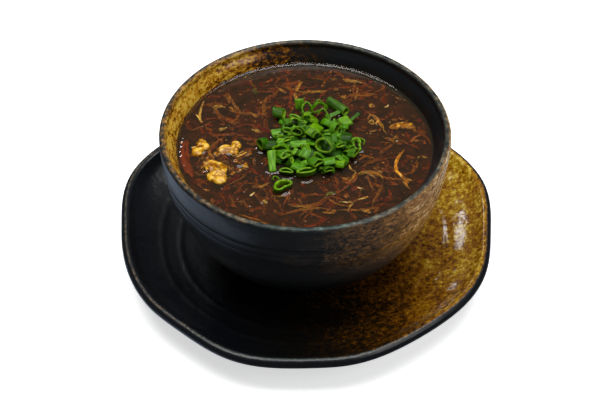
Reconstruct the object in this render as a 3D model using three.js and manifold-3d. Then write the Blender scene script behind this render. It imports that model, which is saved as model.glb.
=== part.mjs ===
// Bowl of hot and sour soup on its own underplate, with a heap of chopped scallions, egg curds and
// vegetable strips. Millimetres, +Z up, +X to the right, and the front faces -Y.
//
// Every piece is made round the bowl's axis with the table at Z = 0. The last step moves the whole
// group, so that the origin is the middle of its footprint on the table.

import * as THREE from 'three';
import { mergeVertices } from 'three/addons/utils/BufferGeometryUtils.js';
import Module from 'manifold-3d';

const wasm = await Module();
wasm.setup();

// ---- Driving dimensions -------------------------------------------------------------------------

const GAP = 0.3; // between pieces that touch

const BOWL_RADIUS = 80;
const BOWL_HEIGHT = 86;
const BOWL_RIM_THICKNESS = 4;
const BOWL_FOOT_RADIUS = 36;
const BOWL_FOOT_WIDTH = 6;
const BOWL_FOOT_RECESS = 3.5;
const BOWL_FLOOR = 8; // thickness at the middle, foot included
const BOWL_SEGMENTS = 40;
const GROOVE_DEPTHS = [17, 23]; // throwing grooves, below the rim
const GROOVE_CUT = 0.7;
const GROOVE_HALF_WIDTH = 1.5;

const PLATE_HEIGHT = 24; // table to the top of its rolled edge
const PLATE_FLOOR = 8; // table to the face that carries the bowl
const PLATE_RADIUS = 105; // axis to the crest of the rolled edge, before it is pressed to shape
const PLATE_EDGE_RADIUS = 3.2;
const PLATE_ROUND_RADIUS = 64; // round inside this radius, pressed to an octagon outside it
const PLATE_FOOT_RADIUS = 62;
const PLATE_FOOT_WIDTH = 6;
const PLATE_FOOT_RECESS = 2.5;
const PLATE_SEGMENTS = 56;
const PLATE_RING_RADII = [73, 84]; // throwing ridges on the dish
const PLATE_RING_RISE = 0.6;

const FREEBOARD = 12; // bowl rim down to the soup
const SOUP_RADIUS = 71; // the bowl's inner radius at the soup's level
const MENISCUS = 0.8;

// The underplate is a hand-pressed octagon: degrees from the front towards +X, and the crest's
// distance from the bowl's axis, at each corner and at each flat between two corners.
const PLATE_OUTLINE = [
  [2, 104.8], [13, 105.4], [36, 103.6], [65, 106.4], [84, 104.8], [110, 109.5], [137, 106.5],
  [161, 107], [181, 105.2], [199, 107.2], [223, 106.8], [246, 109.4], [275, 103.4], [305, 104.8],
  [319, 103.9], [341, 106.9],
];

const TABLE = 0;
const BOWL_BASE = TABLE + PLATE_FLOOR + GAP;
const BOWL_TOP = BOWL_BASE + BOWL_HEIGHT;
const SOUP_LEVEL = BOWL_TOP - FREEBOARD;
const GARNISH_BASE = SOUP_LEVEL + GAP;

// Where each garnish lies on the soup, from the bowl's axis. Sizes are full sizes.
const HEAP = { x: 3, y: -1, radius: 25.5, height: 7.5 };
const SCALLION_WALL = 0.9;

// The cut scallions that show in the heap: the middle's x, y and height above the soup, the radius
// and length of the tube, how far it leans from upright, which way it leans, and how oval it is.
const HEAP_PIECES = [
  [-3, 28, 5, 2.4, 6, 25, 100, 0.6], [1, 23.5, 5, 3.4, 4, 60, -80, 1.3], [7.5, 24, 5, 4.8, 3, 55, -70, 1],
  [-5, 16, 5, 3.6, 3.4, 40, -130, 0.75], [-9.5, 14, 3.5, 2.7, 4.5, 75, 200, 0.8],
  [-9, 5, 5.5, 3.4, 3.5, 55, -100, 0.8], [-15.5, 5, 3, 3.1, 5.2, 88, 10, 0.9],
  [-3, 1, 7, 4.6, 4, 50, -110, 0.9], [5, 1, 8.5, 4.6, 6.5, 75, 150, 0.8], [13, 8.5, 7, 4.2, 4, 65, 60, 0.8],
  [16, 3.5, 7, 4.2, 3.6, 70, -25, 1.15], [22.5, 14, 4, 3.6, 6, 80, 25, 0.9],
  [-23, -4, 3.4, 3.6, 4.5, 75, 215, 1.15], [-13, -10.5, 5, 4.6, 4, 55, -100, 0.9],
  [-3.5, -8.5, 7.4, 2.1, 8.4, 86, 5, 0.8], [-18, -18, 3.2, 1.9, 12, 62, 95, 0.6],
  [-10.5, -14, 4.5, 3.9, 4.4, 60, -60, 0.85], [0, -16, 7, 2.7, 6, 70, 60, 0.8],
  [11, -11.5, 8, 5.4, 5, 50, -120, 1.1], [22, -1, 5, 3.4, 6, 84, 175, 0.95],
  [26, -11.5, 3, 3.4, 5, 60, -30, 0.8], [5, -21, 5.5, 3.3, 7, 70, -50, 0.8],
  [-8, -18.5, 3, 2.6, 4, 30, 0, 0.8], [-4, -22.5, 3.2, 2.5, 7, 86, -30, 0.8],
  [0.5, -26, 2.6, 5, 4.4, 18, -75, 0.75], [12, -24, 3.2, 2.8, 6, 60, -70, 0.8],
  [19, -19, 2.4, 2.8, 5.5, 80, -20, 0.8], [-10, -25, 2, 3.6, 3, 25, -100, 0.8],
  [29, -2, 1.2, 5, 1.6, 12, 0, 1], [18.5, -6.5, 5, 2.6, 4.5, 60, -60, 0.8],
  [13, -19.5, 4.6, 2.6, 6.6, 88, 10, 0.6], [-19, -6, 4, 3, 6, 80, -10, 0.9],
  [-10.5, -2, 5, 2.4, 3.4, 60, -60, 0.8],
];

const EGG_CURDS = [
  { name: 'egg_curd_1', x: -57.6, y: -3.5, long: 13, wide: 8.6, high: 3.2, turn: 80, blobs: 4 },
  { name: 'egg_curd_2', x: -48.4, y: -23.5, long: 16, wide: 12, high: 3.8, turn: 100, blobs: 6 },
  { name: 'egg_curd_3', x: -40.2, y: -4.5, long: 11, wide: 9, high: 3, turn: 30, blobs: 3 },
  { name: 'egg_curd_4', x: -35.2, y: -15.4, long: 8, wide: 6, high: 2.2, turn: 150, blobs: 3 },
];

const LOOSE_SCALLIONS = [
  { name: 'scallion_ring_front', x: -12, y: -36, radius: 5, length: 4.2, lean: 14, turn: -60 },
  { name: 'scallion_tube_left', x: -14.5, y: 23.5, radius: 3.6, length: 5.6, lean: 86, turn: -12 },
  { name: 'scallion_tube_right', x: 18.5, y: 30, radius: 2.9, length: 13, lean: 90, turn: -44 },
];

// Flat strips: their middle line from the bowl's axis, then width and thickness.
const STRIPS = [
  {
    name: 'carrot_strip', width: 4.4, thickness: 1.5,
    path: [[-65.6, 4], [-66.4, -6], [-64.8, -16], [-60.6, -26.5]],
  },
  {
    name: 'bamboo_strip', width: 4.8, thickness: 1.6,
    path: [[47.4, 13.6], [52, 15.6], [57, 15.8], [62, 13.8]],
  },
  {
    name: 'egg_ribbon', width: 1.8, thickness: 1,
    path: [[54.6, -4.5], [50.6, -12], [49.2, -20.5], [52.4, -27], [55.6, -31.5]],
  },
];

// Shreds and flakes that float in the soup are part of its surface.
const SHRED_TRIES = 100;
const FLAKE_TRIES = 50;
const SHRED_LENGTH = [9, 24];
const SHRED_WIDTH = [1.1, 2.2];
const SHRED_THICKNESS = 1.3;
const FLAKE_SIZE = [1.2, 2.4];
const FLOAT_RADIUS = 66; // nothing floats nearer to the wall than this
const CLEARANCE = 2.6; // from a floating shred's middle line to the garnishes round it

const COLOURS = {
  bowl: 0x3a3026,
  plate: 0x4a3a20,
  soup: 0x3a2016,
  scallion: 0x3f9a2c,
  egg: 0xe6b658,
  carrot: 0xa8481c,
  bamboo: 0xd08a3c,
};

// ---- Small tools --------------------------------------------------------------------------------

const radians = THREE.MathUtils.degToRad;
const mix = THREE.MathUtils.lerp;

// A seeded random draw between 0 and 1 (mulberry32).
function seededRandom(seed) {
  let state = seed >>> 0;
  return () => {
    state = (state + 0x6d2b79f5) >>> 0;
    let word = state;
    word = Math.imul(word ^ (word >>> 15), word | 1);
    word ^= word + Math.imul(word ^ (word >>> 7), word | 61);
    return ((word ^ (word >>> 14)) >>> 0) / 4294967296;
  };
}

function between(draw, [low, high]) {
  return mix(low, high, draw());
}

function toSolid(geometry) {
  const bare = geometry.clone();
  bare.deleteAttribute('normal');
  bare.deleteAttribute('uv');
  const merged = mergeVertices(bare, 1e-4);
  return new wasm.Manifold(new wasm.Mesh({
    numProp: 3,
    vertProperties: Float32Array.from(merged.attributes.position.array),
    triVerts: Uint32Array.from(merged.index.array),
  }));
}

function toGeometry(solid) {
  const mesh = solid.getMesh();
  const geometry = new THREE.BufferGeometry();
  geometry.setAttribute('position', new THREE.BufferAttribute(mesh.vertProperties, 3));
  geometry.setIndex(new THREE.BufferAttribute(mesh.triVerts, 1));
  geometry.computeVertexNormals();
  return geometry;
}

// Joins solids and keeps the largest body, so sealed hollows are filled and loose scraps dropped.
function joinSolids(solids) {
  const joined = solids.reduce((whole, solid) => whole.add(solid));
  const bodies = joined.decompose();
  return bodies.reduce((best, body) => (body.volume() > best.volume() ? body : best));
}

// What is left of a solid above a level, so that nothing hangs into the soup.
function cutBelow(solid, level) {
  const reach = 400;
  const block = new THREE.BoxGeometry(reach, reach, reach);
  block.translate(0, 0, level - reach / 2);
  return solid.subtract(toSolid(block));
}

// Turns a half profile, given as [radius, height] pairs, round the Z axis.
function turned(profile, segments) {
  const points = profile.map(([radius, height]) => new THREE.Vector2(radius, height));
  const geometry = new THREE.LatheGeometry(points, segments);
  geometry.rotateX(Math.PI / 2);
  return geometry;
}

// Points along a smooth curve through the given [radius, height] pairs.
function smooth(pairs, steps) {
  const curve = new THREE.SplineCurve(pairs.map(([radius, height]) => new THREE.Vector2(radius, height)));
  return curve.getPoints(steps).map((point) => [point.x, point.y]);
}

function arc(centreRadius, centreHeight, radius, fromDegrees, toDegrees, steps) {
  return Array.from({ length: steps + 1 }, (_, step) => {
    const angle = radians(mix(fromDegrees, toDegrees, step / steps));
    return [centreRadius + radius * Math.cos(angle), centreHeight + radius * Math.sin(angle)];
  });
}

function piece(name, geometry, colour, roughness) {
  const material = new THREE.MeshStandardMaterial({ color: colour, roughness, metalness: 0 });
  const mesh = new THREE.Mesh(geometry, material);
  mesh.name = name;
  return mesh;
}

// ---- Underplate ---------------------------------------------------------------------------------

// The crest's distance from the axis, eased from each corner to the next flat.
function plateCrest(degrees) {
  const last = PLATE_OUTLINE.length - 1;
  const turn = (degrees + 720) % 360;
  let before = [PLATE_OUTLINE[last][0] - 360, PLATE_OUTLINE[last][1]];
  for (const knot of [...PLATE_OUTLINE, [PLATE_OUTLINE[0][0] + 360, PLATE_OUTLINE[0][1]]]) {
    if (turn <= knot[0]) {
      const share = (turn - before[0]) / (knot[0] - before[0]);
      return mix(before[1], knot[1], 0.5 - 0.5 * Math.cos(Math.PI * share));
    }
    before = knot;
  }
  return before[1];
}

function pressToOutline(geometry) {
  const position = geometry.attributes.position;
  for (let index = 0; index < position.count; index += 1) {
    const x = position.getX(index);
    const y = position.getY(index);
    const share = THREE.MathUtils.smoothstep(Math.hypot(x, y), PLATE_ROUND_RADIUS, PLATE_RADIUS);
    const crest = plateCrest(THREE.MathUtils.radToDeg(Math.atan2(x, -y)));
    const factor = 1 + share * (crest / PLATE_RADIUS - 1);
    position.setX(index, x * factor);
    position.setY(index, y * factor);
  }
  return geometry;
}

function plateProfile() {
  const edgeHeight = PLATE_HEIGHT - PLATE_EDGE_RADIUS;
  const footInner = PLATE_FOOT_RADIUS - PLATE_FOOT_WIDTH;
  const dish = smooth([
    [PLATE_RADIUS - 3, PLATE_HEIGHT - 2.2], [98, 18], [91, 14.4], [80, 11], [68, 9],
    [BOWL_FOOT_RADIUS + 14, PLATE_FLOOR],
  ], 10);
  const ridges = dish.map(([radius, height]) => {
    const rise = PLATE_RING_RADII.map((ring) => Math.exp(-(((radius - ring) / 1.8) ** 2)));
    return [radius, height + PLATE_RING_RISE * Math.max(...rise)];
  });
  return [
    [0, PLATE_FOOT_RECESS],
    [footInner - 0.6, PLATE_FOOT_RECESS],
    [footInner, TABLE],
    [PLATE_FOOT_RADIUS, TABLE],
    [PLATE_FOOT_RADIUS + 1, PLATE_FOOT_RECESS],
    ...smooth([[72, 3.4], [82, 5.8], [92, 10.4], [100, 15.4]], 3),
    ...arc(PLATE_RADIUS, edgeHeight, PLATE_EDGE_RADIUS, -110, 130, 6),
    ...ridges,
    [0, PLATE_FLOOR],
  ];
}

function makePlate() {
  const geometry = pressToOutline(turned(plateProfile(), PLATE_SEGMENTS));
  return piece('plate', geometry, COLOURS.plate, 0.35);
}

// ---- Bowl ---------------------------------------------------------------------------------------

// The wall's outer radius on its upper, nearly upright part.
function upperWall(depth) {
  const fall = Math.max(0, depth - 6) / 22;
  return BOWL_RADIUS - 2.6 * fall ** 1.4;
}

function outerWall() {
  const lower = smooth([
    [BOWL_FOOT_RADIUS + 0.6, 4.5], [44, 7.2], [54, 14], [62.8, 22.4], [69.5, 34], [74.2, 46],
    [upperWall(28), BOWL_HEIGHT - 28],
  ], 8);
  const grooves = [...GROOVE_DEPTHS].reverse().flatMap((depth) => [
    [upperWall(depth + GROOVE_HALF_WIDTH), BOWL_HEIGHT - depth - GROOVE_HALF_WIDTH],
    [upperWall(depth) - GROOVE_CUT, BOWL_HEIGHT - depth],
    [upperWall(depth - GROOVE_HALF_WIDTH), BOWL_HEIGHT - depth + GROOVE_HALF_WIDTH],
  ]);
  return [...lower, ...grooves];
}

// The inner wall from the rim, past the soup's edge, to the middle of the bowl's floor.
function innerWall() {
  const rimInner = BOWL_RADIUS - BOWL_RIM_THICKNESS;
  const soupLine = [SOUP_RADIUS, BOWL_HEIGHT - FREEBOARD];
  const below = smooth([
    soupLine, [69.4, 64], [66, 51], [60, 38], [50, 25], [37, 15], [20, 9.4], [0, BOWL_FLOOR],
  ], 7);
  return [[rimInner - 0.3, BOWL_HEIGHT - 3.5], [73, BOWL_HEIGHT - 7.5], ...below];
}

function bowlProfile() {
  const rimRound = BOWL_RIM_THICKNESS / 2;
  const footInner = BOWL_FOOT_RADIUS - BOWL_FOOT_WIDTH;
  return [
    [0, BOWL_FOOT_RECESS],
    [footInner - 0.6, BOWL_FOOT_RECESS],
    [footInner, 0],
    [BOWL_FOOT_RADIUS, 0],
    ...outerWall(),
    ...arc(BOWL_RADIUS - rimRound, BOWL_HEIGHT - rimRound, rimRound, 0, 180, 5),
    ...innerWall(),
  ];
}

function makeBowl() {
  const geometry = turned(bowlProfile(), BOWL_SEGMENTS);
  geometry.translate(0, 0, BOWL_BASE);
  return piece('bowl', geometry, COLOURS.bowl, 0.35);
}

// ---- Strips, shreds and flakes ------------------------------------------------------------------

// A flat strip along a level path, with its underside at the given height.
function strip(path, width, thickness, base, steps) {
  const middle = base + thickness / 2;
  const points = path.map(([x, y]) => new THREE.Vector3(x, y, middle));
  const section = new THREE.Shape([
    new THREE.Vector2(-thickness / 2, -width / 2),
    new THREE.Vector2(thickness / 2, -width / 2),
    new THREE.Vector2(thickness / 2, width / 2),
    new THREE.Vector2(-thickness / 2, width / 2),
  ]);
  return new THREE.ExtrudeGeometry(section, {
    steps,
    bevelEnabled: false,
    extrudePath: new THREE.CatmullRomCurve3(points),
  });
}

function levelPoints(path, count) {
  const curve = new THREE.CatmullRomCurve3(path.map(([x, y]) => new THREE.Vector3(x, y, 0)));
  return curve.getPoints(count).map(({ x, y }) => [x, y]);
}

// Circles on the soup that the garnishes cover, as [x, y, radius].
function coveredCircles() {
  return [
    [HEAP.x, HEAP.y, HEAP.radius + 5],
    ...EGG_CURDS.map(({ x, y, long }) => [x, y, long * 0.55]),
    ...LOOSE_SCALLIONS.map(({ x, y, radius, length }) => [x, y, Math.max(radius, length / 2)]),
    ...STRIPS.flatMap(({ path, width }) => levelPoints(path, 8).map(([x, y]) => [x, y, width / 2])),
  ];
}

const COVERED = coveredCircles();

function isFree([x, y]) {
  const nearWall = Math.hypot(x, y) > FLOAT_RADIUS;
  return !nearWall && COVERED.every(([left, back, radius]) => (
    Math.hypot(x - left, y - back) > radius + CLEARANCE
  ));
}

// Bent shreds spread over the open soup, each as its path and width.
function drawShreds() {
  const draw = seededRandom(7);
  const shreds = [];
  for (let tried = 0; tried < SHRED_TRIES; tried += 1) {
    const distance = FLOAT_RADIUS * Math.sqrt(draw());
    const around = draw() * Math.PI * 2;
    const heading = draw() * Math.PI * 2;
    const length = between(draw, SHRED_LENGTH);
    const bend = (draw() - 0.5) * 1.6;
    const width = between(draw, SHRED_WIDTH);
    const start = [distance * Math.cos(around), distance * Math.sin(around)];
    const path = [start];
    for (let step = 0; step < 3; step += 1) {
      const [x, y] = path[step];
      const direction = heading + (bend * step) / 3;
      path.push([x + (length / 3) * Math.cos(direction), y + (length / 3) * Math.sin(direction)]);
    }
    if (levelPoints(path, 9).every(isFree)) {
      shreds.push({ path, width });
    }
  }
  return shreds;
}

function drawFlakes() {
  const draw = seededRandom(23);
  const flakes = [];
  for (let tried = 0; tried < FLAKE_TRIES; tried += 1) {
    const distance = FLOAT_RADIUS * Math.sqrt(draw());
    const around = draw() * Math.PI * 2;
    const size = between(draw, FLAKE_SIZE);
    const turn = draw() * Math.PI;
    const place = [distance * Math.cos(around), distance * Math.sin(around)];
    if (isFree(place)) {
      flakes.push({ place, size, turn });
    }
  }
  return flakes;
}

function makeStrip({ name, path, width, thickness }) {
  const geometry = strip(path, width, thickness, GARNISH_BASE, 10);
  const colour = name === 'carrot_strip' ? COLOURS.carrot : COLOURS.bamboo;
  return piece(name, geometry, colour, 0.4);
}

// ---- Soup ---------------------------------------------------------------------------------------

function soupProfile() {
  const level = BOWL_HEIGHT - FREEBOARD;
  const wall = innerWall()
    .filter(([, height]) => height < level)
    .map(([radius, height]) => [Math.max(0, radius - GAP), height + GAP])
    .reverse();
  const edge = SOUP_RADIUS - GAP;
  return [...wall, [edge, level + MENISCUS], [edge - 1.6, level + 0.15], [edge - 4, level], [0, level]];
}

function makeSoup() {
  const body = turned(soupProfile(), BOWL_SEGMENTS);
  body.translate(0, 0, BOWL_BASE);
  const shreds = drawShreds().map(({ path, width }) => (
    toSolid(strip(path, width, SHRED_THICKNESS, SOUP_LEVEL - SHRED_THICKNESS / 2, 3))
  ));
  const flakes = drawFlakes().map(({ place, size, turn }) => {
    const flake = new THREE.OctahedronGeometry(size);
    flake.scale(1, 0.7, 0.45);
    flake.rotateZ(turn);
    flake.translate(place[0], place[1], SOUP_LEVEL);
    return toSolid(flake);
  });
  const soup = joinSolids([toSolid(body), ...shreds, ...flakes]);
  return piece('soup', toGeometry(soup), COLOURS.soup, 0.12);
}

// ---- Scallions ----------------------------------------------------------------------------------

// A cut length of hollow scallion leaf: an oval tube with slanting ends, centred on the origin.
function scallion({ radius, length, oval, slant, wall, sides }) {
  const inner = radius - wall;
  const half = length / 2;
  const section = [[inner, -half], [radius, -half], [radius, half], [inner, half], [inner, -half]];
  const geometry = turned(section, sides);
  geometry.scale(oval, 1, 1);
  const slanted = new THREE.Matrix4().set(1, 0, 0, 0, 0, 1, 0, 0, slant, 0, 1, 0, 0, 0, 0, 1);
  geometry.applyMatrix4(slanted);
  return geometry;
}

// Leans a piece over and turns it round the vertical, then puts it in its place.
function place(geometry, { x, y, z, lean, turn }) {
  geometry.rotateY(radians(lean));
  geometry.rotateZ(radians(turn));
  geometry.translate(x, y, z);
  return geometry;
}

function heapCore() {
  const { radius, height } = HEAP;
  const dome = turned([
    [0, -1], [radius, -1], [radius, 1], [radius * 0.72, height * 0.5], [radius * 0.4, height * 0.85],
    [0, height],
  ], 18);
  dome.translate(HEAP.x, HEAP.y, GARNISH_BASE);
  return toSolid(dome);
}

function heapPieces() {
  return HEAP_PIECES.map(([x, y, up, radius, length, lean, turn, oval], index) => {
    const slant = 0.35 * Math.sin(2.4 * index);
    const geometry = scallion({ radius, length, oval, slant, wall: SCALLION_WALL, sides: 8 });
    return toSolid(place(geometry, { x, y, z: GARNISH_BASE + up, lean, turn }));
  });
}

function makeHeap() {
  const joined = joinSolids([heapCore(), ...heapPieces()]);
  const heap = joinSolids([cutBelow(joined, GARNISH_BASE)]);
  return piece('scallion_heap', toGeometry(heap), COLOURS.scallion, 0.4);
}

function makeLooseScallion({ name, x, y, radius, length, lean, turn }) {
  const geometry = scallion({ radius, length, oval: 0.85, slant: 0.25, wall: SCALLION_WALL, sides: 12 });
  place(geometry, { x, y, z: 0, lean, turn });
  geometry.computeBoundingBox();
  geometry.translate(0, 0, GARNISH_BASE - geometry.boundingBox.min.z);
  return piece(name, geometry, COLOURS.scallion, 0.4);
}

// ---- Egg curds ----------------------------------------------------------------------------------

// A soft lump of cooked egg: several overlapping blobs along its length, flat where it floats.
function makeCurd({ name, x, y, long, wide, high, turn, blobs }) {
  const draw = seededRandom(turn);
  const lumps = Array.from({ length: blobs }, (_, index) => {
    const along = mix(-0.32, 0.32, index / (blobs - 1)) * long;
    const aside = (draw() - 0.5) * 0.5 * wide;
    const size = wide * between(draw, [0.24, 0.38]);
    const blob = new THREE.IcosahedronGeometry(size, 1);
    blob.scale(1.15, 1, (high / wide) * between(draw, [1.5, 2.1]));
    blob.rotateZ(draw() * Math.PI);
    blob.translate(along, aside, high * 0.3);
    blob.rotateZ(radians(turn));
    blob.translate(x, y, GARNISH_BASE);
    return toSolid(blob);
  });
  const curd = joinSolids([cutBelow(joinSolids(lumps), GARNISH_BASE)]);
  return piece(name, toGeometry(curd), COLOURS.egg, 0.45);
}

// ---- The whole dish -----------------------------------------------------------------------------

const dish = new THREE.Group();
dish.add(makePlate());
dish.add(makeBowl());
dish.add(makeSoup());
dish.add(makeHeap());
LOOSE_SCALLIONS.forEach((loose) => dish.add(makeLooseScallion(loose)));
EGG_CURDS.forEach((curd) => dish.add(makeCurd(curd)));
STRIPS.forEach((flat) => dish.add(makeStrip(flat)));

const footprint = new THREE.Box3().setFromObject(dish);
const middle = footprint.getCenter(new THREE.Vector3());
dish.position.set(-middle.x, -middle.y, -footprint.min.z);
dish.updateMatrixWorld(true);

export default dish;
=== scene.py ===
"""Looks of a bowl of hot and sour soup on its underplate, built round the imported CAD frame.

Every piece is modelled in millimetres round the bowl's axis, with the ground at zero, +X to the right and
the front facing -Y, as the solids are. Its last step puts it into the frame, in metres.
"""

import logging
import math
import random
from dataclasses import dataclass, field
from enum import Enum
from typing import Iterable, Optional, Sequence

import bmesh
import bpy
from mathutils import Matrix, Vector, kdtree, noise


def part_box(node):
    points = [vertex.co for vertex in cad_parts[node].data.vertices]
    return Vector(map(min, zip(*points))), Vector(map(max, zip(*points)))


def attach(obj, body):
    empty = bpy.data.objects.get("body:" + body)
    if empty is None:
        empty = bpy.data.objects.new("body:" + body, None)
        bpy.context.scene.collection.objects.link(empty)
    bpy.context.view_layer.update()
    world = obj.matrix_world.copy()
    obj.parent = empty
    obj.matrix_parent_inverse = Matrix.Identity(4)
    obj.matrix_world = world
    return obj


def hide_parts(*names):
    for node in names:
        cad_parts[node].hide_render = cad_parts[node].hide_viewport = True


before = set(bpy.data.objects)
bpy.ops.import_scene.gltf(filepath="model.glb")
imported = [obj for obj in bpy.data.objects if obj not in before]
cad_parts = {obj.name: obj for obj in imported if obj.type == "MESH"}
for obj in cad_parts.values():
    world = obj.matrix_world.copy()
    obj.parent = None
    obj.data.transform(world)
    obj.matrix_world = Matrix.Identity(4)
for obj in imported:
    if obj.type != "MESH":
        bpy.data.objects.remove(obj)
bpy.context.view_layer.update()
LOG = logging.getLogger("soup")

Pair = tuple[float, float]
Colour = tuple[float, float, float, float]
Mesh = bmesh.types.BMesh
Piece = bpy.types.Object
Material = bpy.types.Material
NodeSocket = bpy.types.NodeSocket

MM = 0.001
BODY = "root"

# ---- What the solids say ----

BOWL_LOW, BOWL_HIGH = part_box("bowl")
AXIS = Vector(((BOWL_LOW.x + BOWL_HIGH.x) / 2, (BOWL_LOW.y + BOWL_HIGH.y) / 2, 0))
TO_FRAME = Matrix.Translation(AXIS) @ Matrix.Diagonal((MM, MM, MM, 1))
BOWL_BASE = BOWL_LOW.z / MM
BOWL_HEIGHT = 86.0
FREEBOARD = 12.0
SOUP_LEVEL = BOWL_BASE + BOWL_HEIGHT - FREEBOARD
GAP = 0.3
GARNISH_BASE = SOUP_LEVEL + GAP

# The bowl's inner wall from the soup's level down to the middle of the floor, over the bowl's base.
WETTED_WALL = (
    (71, BOWL_HEIGHT - FREEBOARD), (69.4, 64), (66, 51), (60, 38), (50, 25), (37, 15), (20, 9.4), (0, 8),
)

CUT_CREASE = 75.0  # edges of cut leaf sharper than this stay sharp, in degrees
SMOOTH = 180.0  # keeps every edge soft


# ---- Small tools ----


def linear(colour: str) -> Colour:
    """Turns an sRGB hex colour into the linear colour that the shaders use.

    Args:
        colour: The colour as "#rrggbb".

    Returns:
        Linear red, green, blue and alpha.
    """
    channels = [int(colour[start : start + 2], 16) / 255 for start in (1, 3, 5)]
    red, green, blue = (c / 12.92 if c <= 0.04045 else ((c + 0.055) / 1.055) ** 2.4 for c in channels)
    return red, green, blue, 1.0


def ease(low: float, high: float, value: float) -> float:
    """Rises smoothly from 0 to 1 as the value passes from low to high.

    Args:
        low: Where the rise starts.
        high: Where the rise ends.
        value: The value looked up.

    Returns:
        A share from 0 to 1.
    """
    share = min(1.0, max(0.0, (value - low) / (high - low)))
    return share * share * (3 - 2 * share)


def blend(low: float, high: float, share: float) -> float:
    """Returns the value at a share of the way from low to high."""
    return low + (high - low) * share


def polar(distance: float, around: float) -> Pair:
    """Returns the point at a distance from the axis and an angle in radians from +X."""
    return distance * math.cos(around), distance * math.sin(around)


def bearing(x: float, y: float) -> float:
    """Returns the direction of a point from the axis, in degrees from the front towards +X."""
    return math.degrees(math.atan2(x, -y))


def between_knots(knots: Sequence[Pair], degrees: float) -> float:
    """Reads a value that eases from knot to knot round the circle.

    Args:
        knots: Bearings in degrees, rising from 0 to 360, each with its value.
        degrees: The bearing looked up.

    Returns:
        The eased value.
    """
    turn = degrees % 360
    before = (knots[-1][0] - 360, knots[-1][1])
    for knot in [*knots, (knots[0][0] + 360, knots[0][1])]:
        if turn <= knot[0]:
            share = (turn - before[0]) / (knot[0] - before[0])
            return blend(before[1], knot[1], 0.5 - 0.5 * math.cos(math.pi * share))
        before = knot
    return before[1]


class SeededDraw:
    """The seeded draws between 0 and 1 that also placed the solids' shreds and curds."""

    WORD = 0xFFFFFFFF
    STEP = 0x6D2B79F5

    def __init__(self, seed: int) -> None:
        """Starts the row of draws.

        Args:
            seed: The number that fixes the row.
        """
        self.state = seed & self.WORD

    def __call__(self) -> float:
        """Makes the next draw.

        Returns:
            A number from 0 to 1.
        """
        self.state = (self.state + self.STEP) & self.WORD
        word = self.state
        word = ((word ^ (word >> 15)) * (word | 1)) & self.WORD
        word ^= (word + ((word ^ (word >> 7)) * (word | 61))) & self.WORD
        return ((word ^ (word >> 14)) & self.WORD) / (self.WORD + 1)

    def between(self, low: float, high: float) -> float:
        """Returns the next draw as a value from low to high."""
        return blend(low, high, self())


class Knots(Enum):
    """How a smooth curve treats its points."""

    EVEN = "profiles, with the same time between any two points"
    SPACED = "paths, with more time between points that lie further apart"


def spline(points: Sequence[Sequence[float]], steps: int, knots: Knots) -> list[Vector]:
    """Follows a Catmull-Rom curve through some points.

    Args:
        points: Two or more points, all of two or all of three numbers.
        steps: How many equal steps of time the curve is cut into.
        knots: How the time between the points is shared out.

    Returns:
        The points at both ends and at each step.
    """
    through = [Vector(point) for point in points]
    first, last = through[0], through[-1]
    if knots is Knots.EVEN:
        padded = [first, *through, last]
    else:
        padded = [first * 2 - through[1], *through, last * 2 - through[-2]]
    found = []
    for step in range(steps + 1):
        time = step / steps * (len(through) - 1)
        index = min(int(time), len(through) - 2)
        share = time - index
        before, start, end, after = padded[index : index + 4]
        if knots is Knots.EVEN:
            leaving, arriving = (end - before) / 2, (after - start) / 2
        else:
            pairs = ((before, start), (start, end), (end, after))
            lead, span, tail = (max(1e-4, (b - a).length) ** 0.5 for a, b in pairs)
            leaving = (start - before) / lead - (end - before) / (lead + span) + (end - start) / span
            arriving = (end - start) / span - (after - start) / (span + tail) + (after - end) / tail
            leaving, arriving = leaving * span, arriving * span
        square, cube = share**2, share**3
        found.append(
            start * (2 * cube - 3 * square + 1)
            + leaving * (cube - 2 * square + share)
            + end * (3 * square - 2 * cube)
            + arriving * (cube - square)
        )
    return found


def arc(radius: float, height: float, size: float, start: float, end: float, steps: int) -> list[Pair]:
    """Cuts an arc of a profile into points.

    Args:
        radius: The arc centre's distance from the axis.
        height: The arc centre's height.
        size: The arc's own radius.
        start: Its first angle in degrees, from outwards to upwards.
        end: Its last angle in degrees.
        steps: How many steps it is cut into.

    Returns:
        Points as (radius, height).
    """
    angles = [math.radians(blend(start, end, step / steps)) for step in range(steps + 1)]
    return [(radius + size * math.cos(angle), height + size * math.sin(angle)) for angle in angles]


def spun(profile: Sequence[Pair], segments: int, layers: Optional[dict[str, Sequence[float]]] = None,
         sweep: float = 360.0) -> Mesh:
    """Turns a half profile round the Z axis.

    Args:
        profile: Points as (radius, height), with the ends on the axis, or the same for a closed ring.
        segments: How many segments the turn has.
        layers: Values for each profile point, by the name of the attribute that keeps them.
        sweep: How far the profile turns, in degrees.

    Returns:
        The turned mesh, with its normals outwards.
    """
    mesh = bmesh.new()
    kept = {name: mesh.verts.layers.float.new(name) for name in (layers or {})}
    chain = [mesh.verts.new((radius, 0, height)) for radius, height in profile]
    for name, layer in kept.items():
        for vertex, value in zip(chain, layers[name]):
            vertex[layer] = value
    edges = [mesh.edges.new(pair) for pair in zip(chain, chain[1:])]
    whole = sweep >= 360
    bmesh.ops.spin(mesh, geom=[*chain, *edges], cent=(0, 0, 0), axis=(0, 0, 1), angle=math.radians(sweep),
                   steps=segments, use_merge=whole)
    bmesh.ops.remove_doubles(mesh, verts=mesh.verts, dist=1e-4)
    if not whole:
        rims = [edge for edge in mesh.edges if edge.is_boundary]
        bmesh.ops.holes_fill(mesh, edges=rims, sides=0)
    bmesh.ops.recalc_face_normals(mesh, faces=mesh.faces)
    return mesh


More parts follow.
